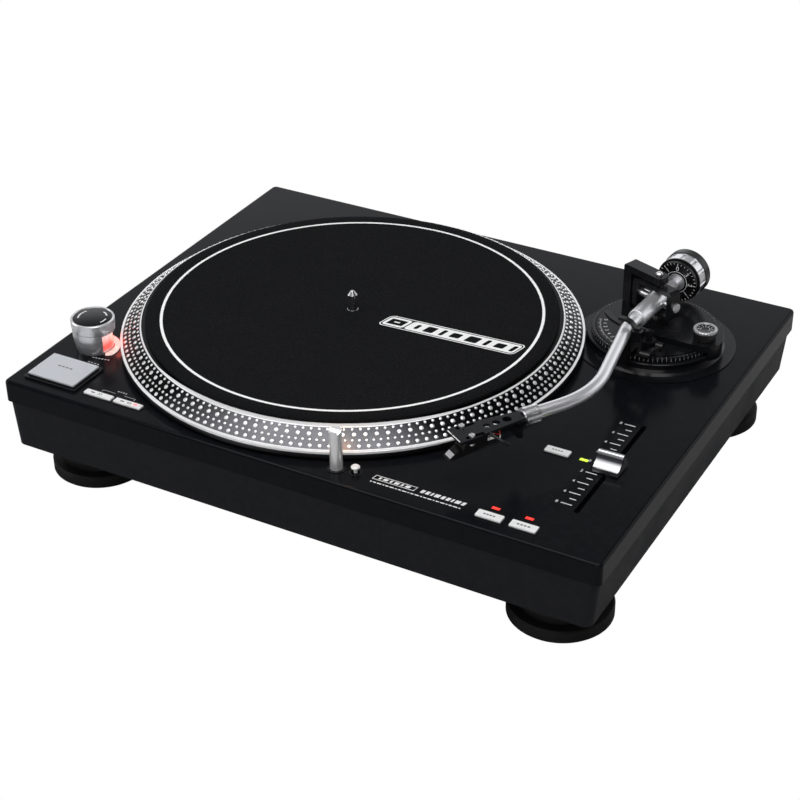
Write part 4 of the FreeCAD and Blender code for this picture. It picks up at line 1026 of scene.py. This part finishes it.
def make_world():
    """White for the camera; for the rest a dim room with a bright backdrop low behind the object.

    The room's lit parts don't move with the camera.
    """
    world = bpy.data.worlds.new("studio_world")
    bpy.context.scene.world = world
    world.use_nodes = True
    nodes, links = world.node_tree.nodes, world.node_tree.links
    nodes.clear()
    out = nodes.new("ShaderNodeOutputWorld")
    room, plain = nodes.new("ShaderNodeBackground"), nodes.new("ShaderNodeBackground")
    mix, path = nodes.new("ShaderNodeMixShader"), nodes.new("ShaderNodeLightPath")
    plain.inputs["Color"].default_value = (1, 1, 1, 1)
    room.inputs["Color"].default_value = (0.97, 0.98, 1.0, 1)
    coords, split = nodes.new("ShaderNodeTexCoord"), nodes.new("ShaderNodeSeparateXYZ")
    links.new(coords.outputs["Generated"], split.inputs[0])

    def fade(source, start, end, low, high):
        node = nodes.new("ShaderNodeMapRange")
        node.interpolation_type = "SMOOTHSTEP"
        for key, value in (("From Min", start), ("From Max", end), ("To Min", low), ("To Max", high)):
            node.inputs[key].default_value = value
        links.new(source, node.inputs["Value"])
        return node.outputs["Result"]

    def combine(operation, first, second):
        node = nodes.new("ShaderNodeMath")
        node.operation = operation
        links.new(first, node.inputs[0])
        links.new(second, node.inputs[1])
        return node.outputs[0]

    backdrop = combine("MULTIPLY", fade(split.outputs["Y"], 0.15, 0.75, 0.0, BACKDROP),
                       fade(split.outputs["Z"], 0.38, 0.64, 1.0, 0.0))
    ceiling = fade(split.outputs["Z"], 0.3, 1.0, 0.03, 0.12)
    links.new(combine("ADD", backdrop, ceiling), room.inputs["Strength"])
    links.new(path.outputs["Is Camera Ray"], mix.inputs[0])
    links.new(room.outputs[0], mix.inputs[1])
    links.new(plain.outputs[0], mix.inputs[2])
    links.new(mix.outputs[0], out.inputs["Surface"])


def area_light(name, at, aim, size, power, color=(1, 1, 1)):
    """Soft rectangular light aimed at a point."""
    data = bpy.data.lights.new(name, "AREA")
    data.shape = "RECTANGLE"
    data.size, data.size_y = size
    data.energy = power
    data.color = color
    light = bpy.data.objects.new(name, data)
    bpy.context.scene.collection.objects.link(light)
    light.location = at
    light.rotation_euler = (Vector(aim) - Vector(at)).to_track_quat("-Z", "Y").to_euler()
    return light


def point_light(name, at, power, color, radius=0.004):
    """Small coloured glow, placed in millimetres above the deck."""
    data = bpy.data.lights.new(name, "POINT")
    data.energy = power
    data.color = color
    data.shadow_soft_size = radius
    light = bpy.data.objects.new(name, data)
    bpy.context.scene.collection.objects.link(light)
    light.location = (at[0] * MM, at[1] * MM, at[2] * MM + DECK_TOP)
    return light


def make_lights():
    """Overhead softbox, soft strips at the front and left, and the strobe's and lamp's glows."""
    area_light("softbox_top", (0.0, -0.5, 2.1), (0, 0, 0), (2.6, 1.8), 40)
    area_light("strip_front", (0.8, -2.6, 0.9), (0, 0, 0.05), (2.4, 1.0), 16)
    area_light("strip_left", (-2.4, -0.9, 1.0), (0, 0, 0.05), (1.2, 1.2), 11)
    way = (Vector((*SPINDLE, 0)) - Vector((*STROBE, 0))).normalized()
    glow = Vector((*STROBE, 6.0)) + way * 15.8
    point_light("strobe_glow", glow, 0.004, (1.0, 0.10, 0.06), 0.003)
    lamp = spot("target_lamp")
    point_light("lamp_glow", (lamp[0] + 2.0, lamp[1] + 6.5, 28.0), 0.003, (1.0, 0.42, 0.12), 0.002)


CAMERA_AT = (0.55074, -0.99707, 0.74717)
CAMERA_AROUND = 29.3037     # degrees round to the right from straight in front
CAMERA_ABOVE = 32.1284      # degrees above level
CAMERA_ROLL = -0.7231


def make_camera():
    """Camera of the main view, from the front right and above."""
    data = bpy.data.cameras.new("camera")
    data.sensor_width = 36.0
    data.lens = 83.448
    data.shift_y = 0.00116
    data.clip_start, data.clip_end = 0.05, 30.0
    camera = bpy.data.objects.new("camera", data)
    bpy.context.scene.collection.objects.link(camera)
    place = Matrix.Translation(CAMERA_AT)
    for degrees, axis in ((CAMERA_AROUND, "Z"), (90.0 - CAMERA_ABOVE, "X"), (CAMERA_ROLL, "Z")):
        place = place @ Matrix.Rotation(math.radians(degrees), 4, axis)
    camera.matrix_world = place
    bpy.context.scene.camera = camera


dress_frame()
make_strobe_dots()
make_mat()
make_mat_badge()
make_pitch_marks()
make_front_print()
make_button_marks()
make_speed_digits()
make_key_marks()
make_knob_top()
make_ring_marks()
make_plate_marks()
make_skate_marks()
make_force_marks()
make_leads()
make_cartridge_plate()
make_shell_edge()
make_key_light()
make_lamp_led()
make_floor()
make_world()
make_lights()
make_camera()

scene = bpy.context.scene
scene.view_settings.view_transform = "Standard"
scene.view_settings.look = "None"
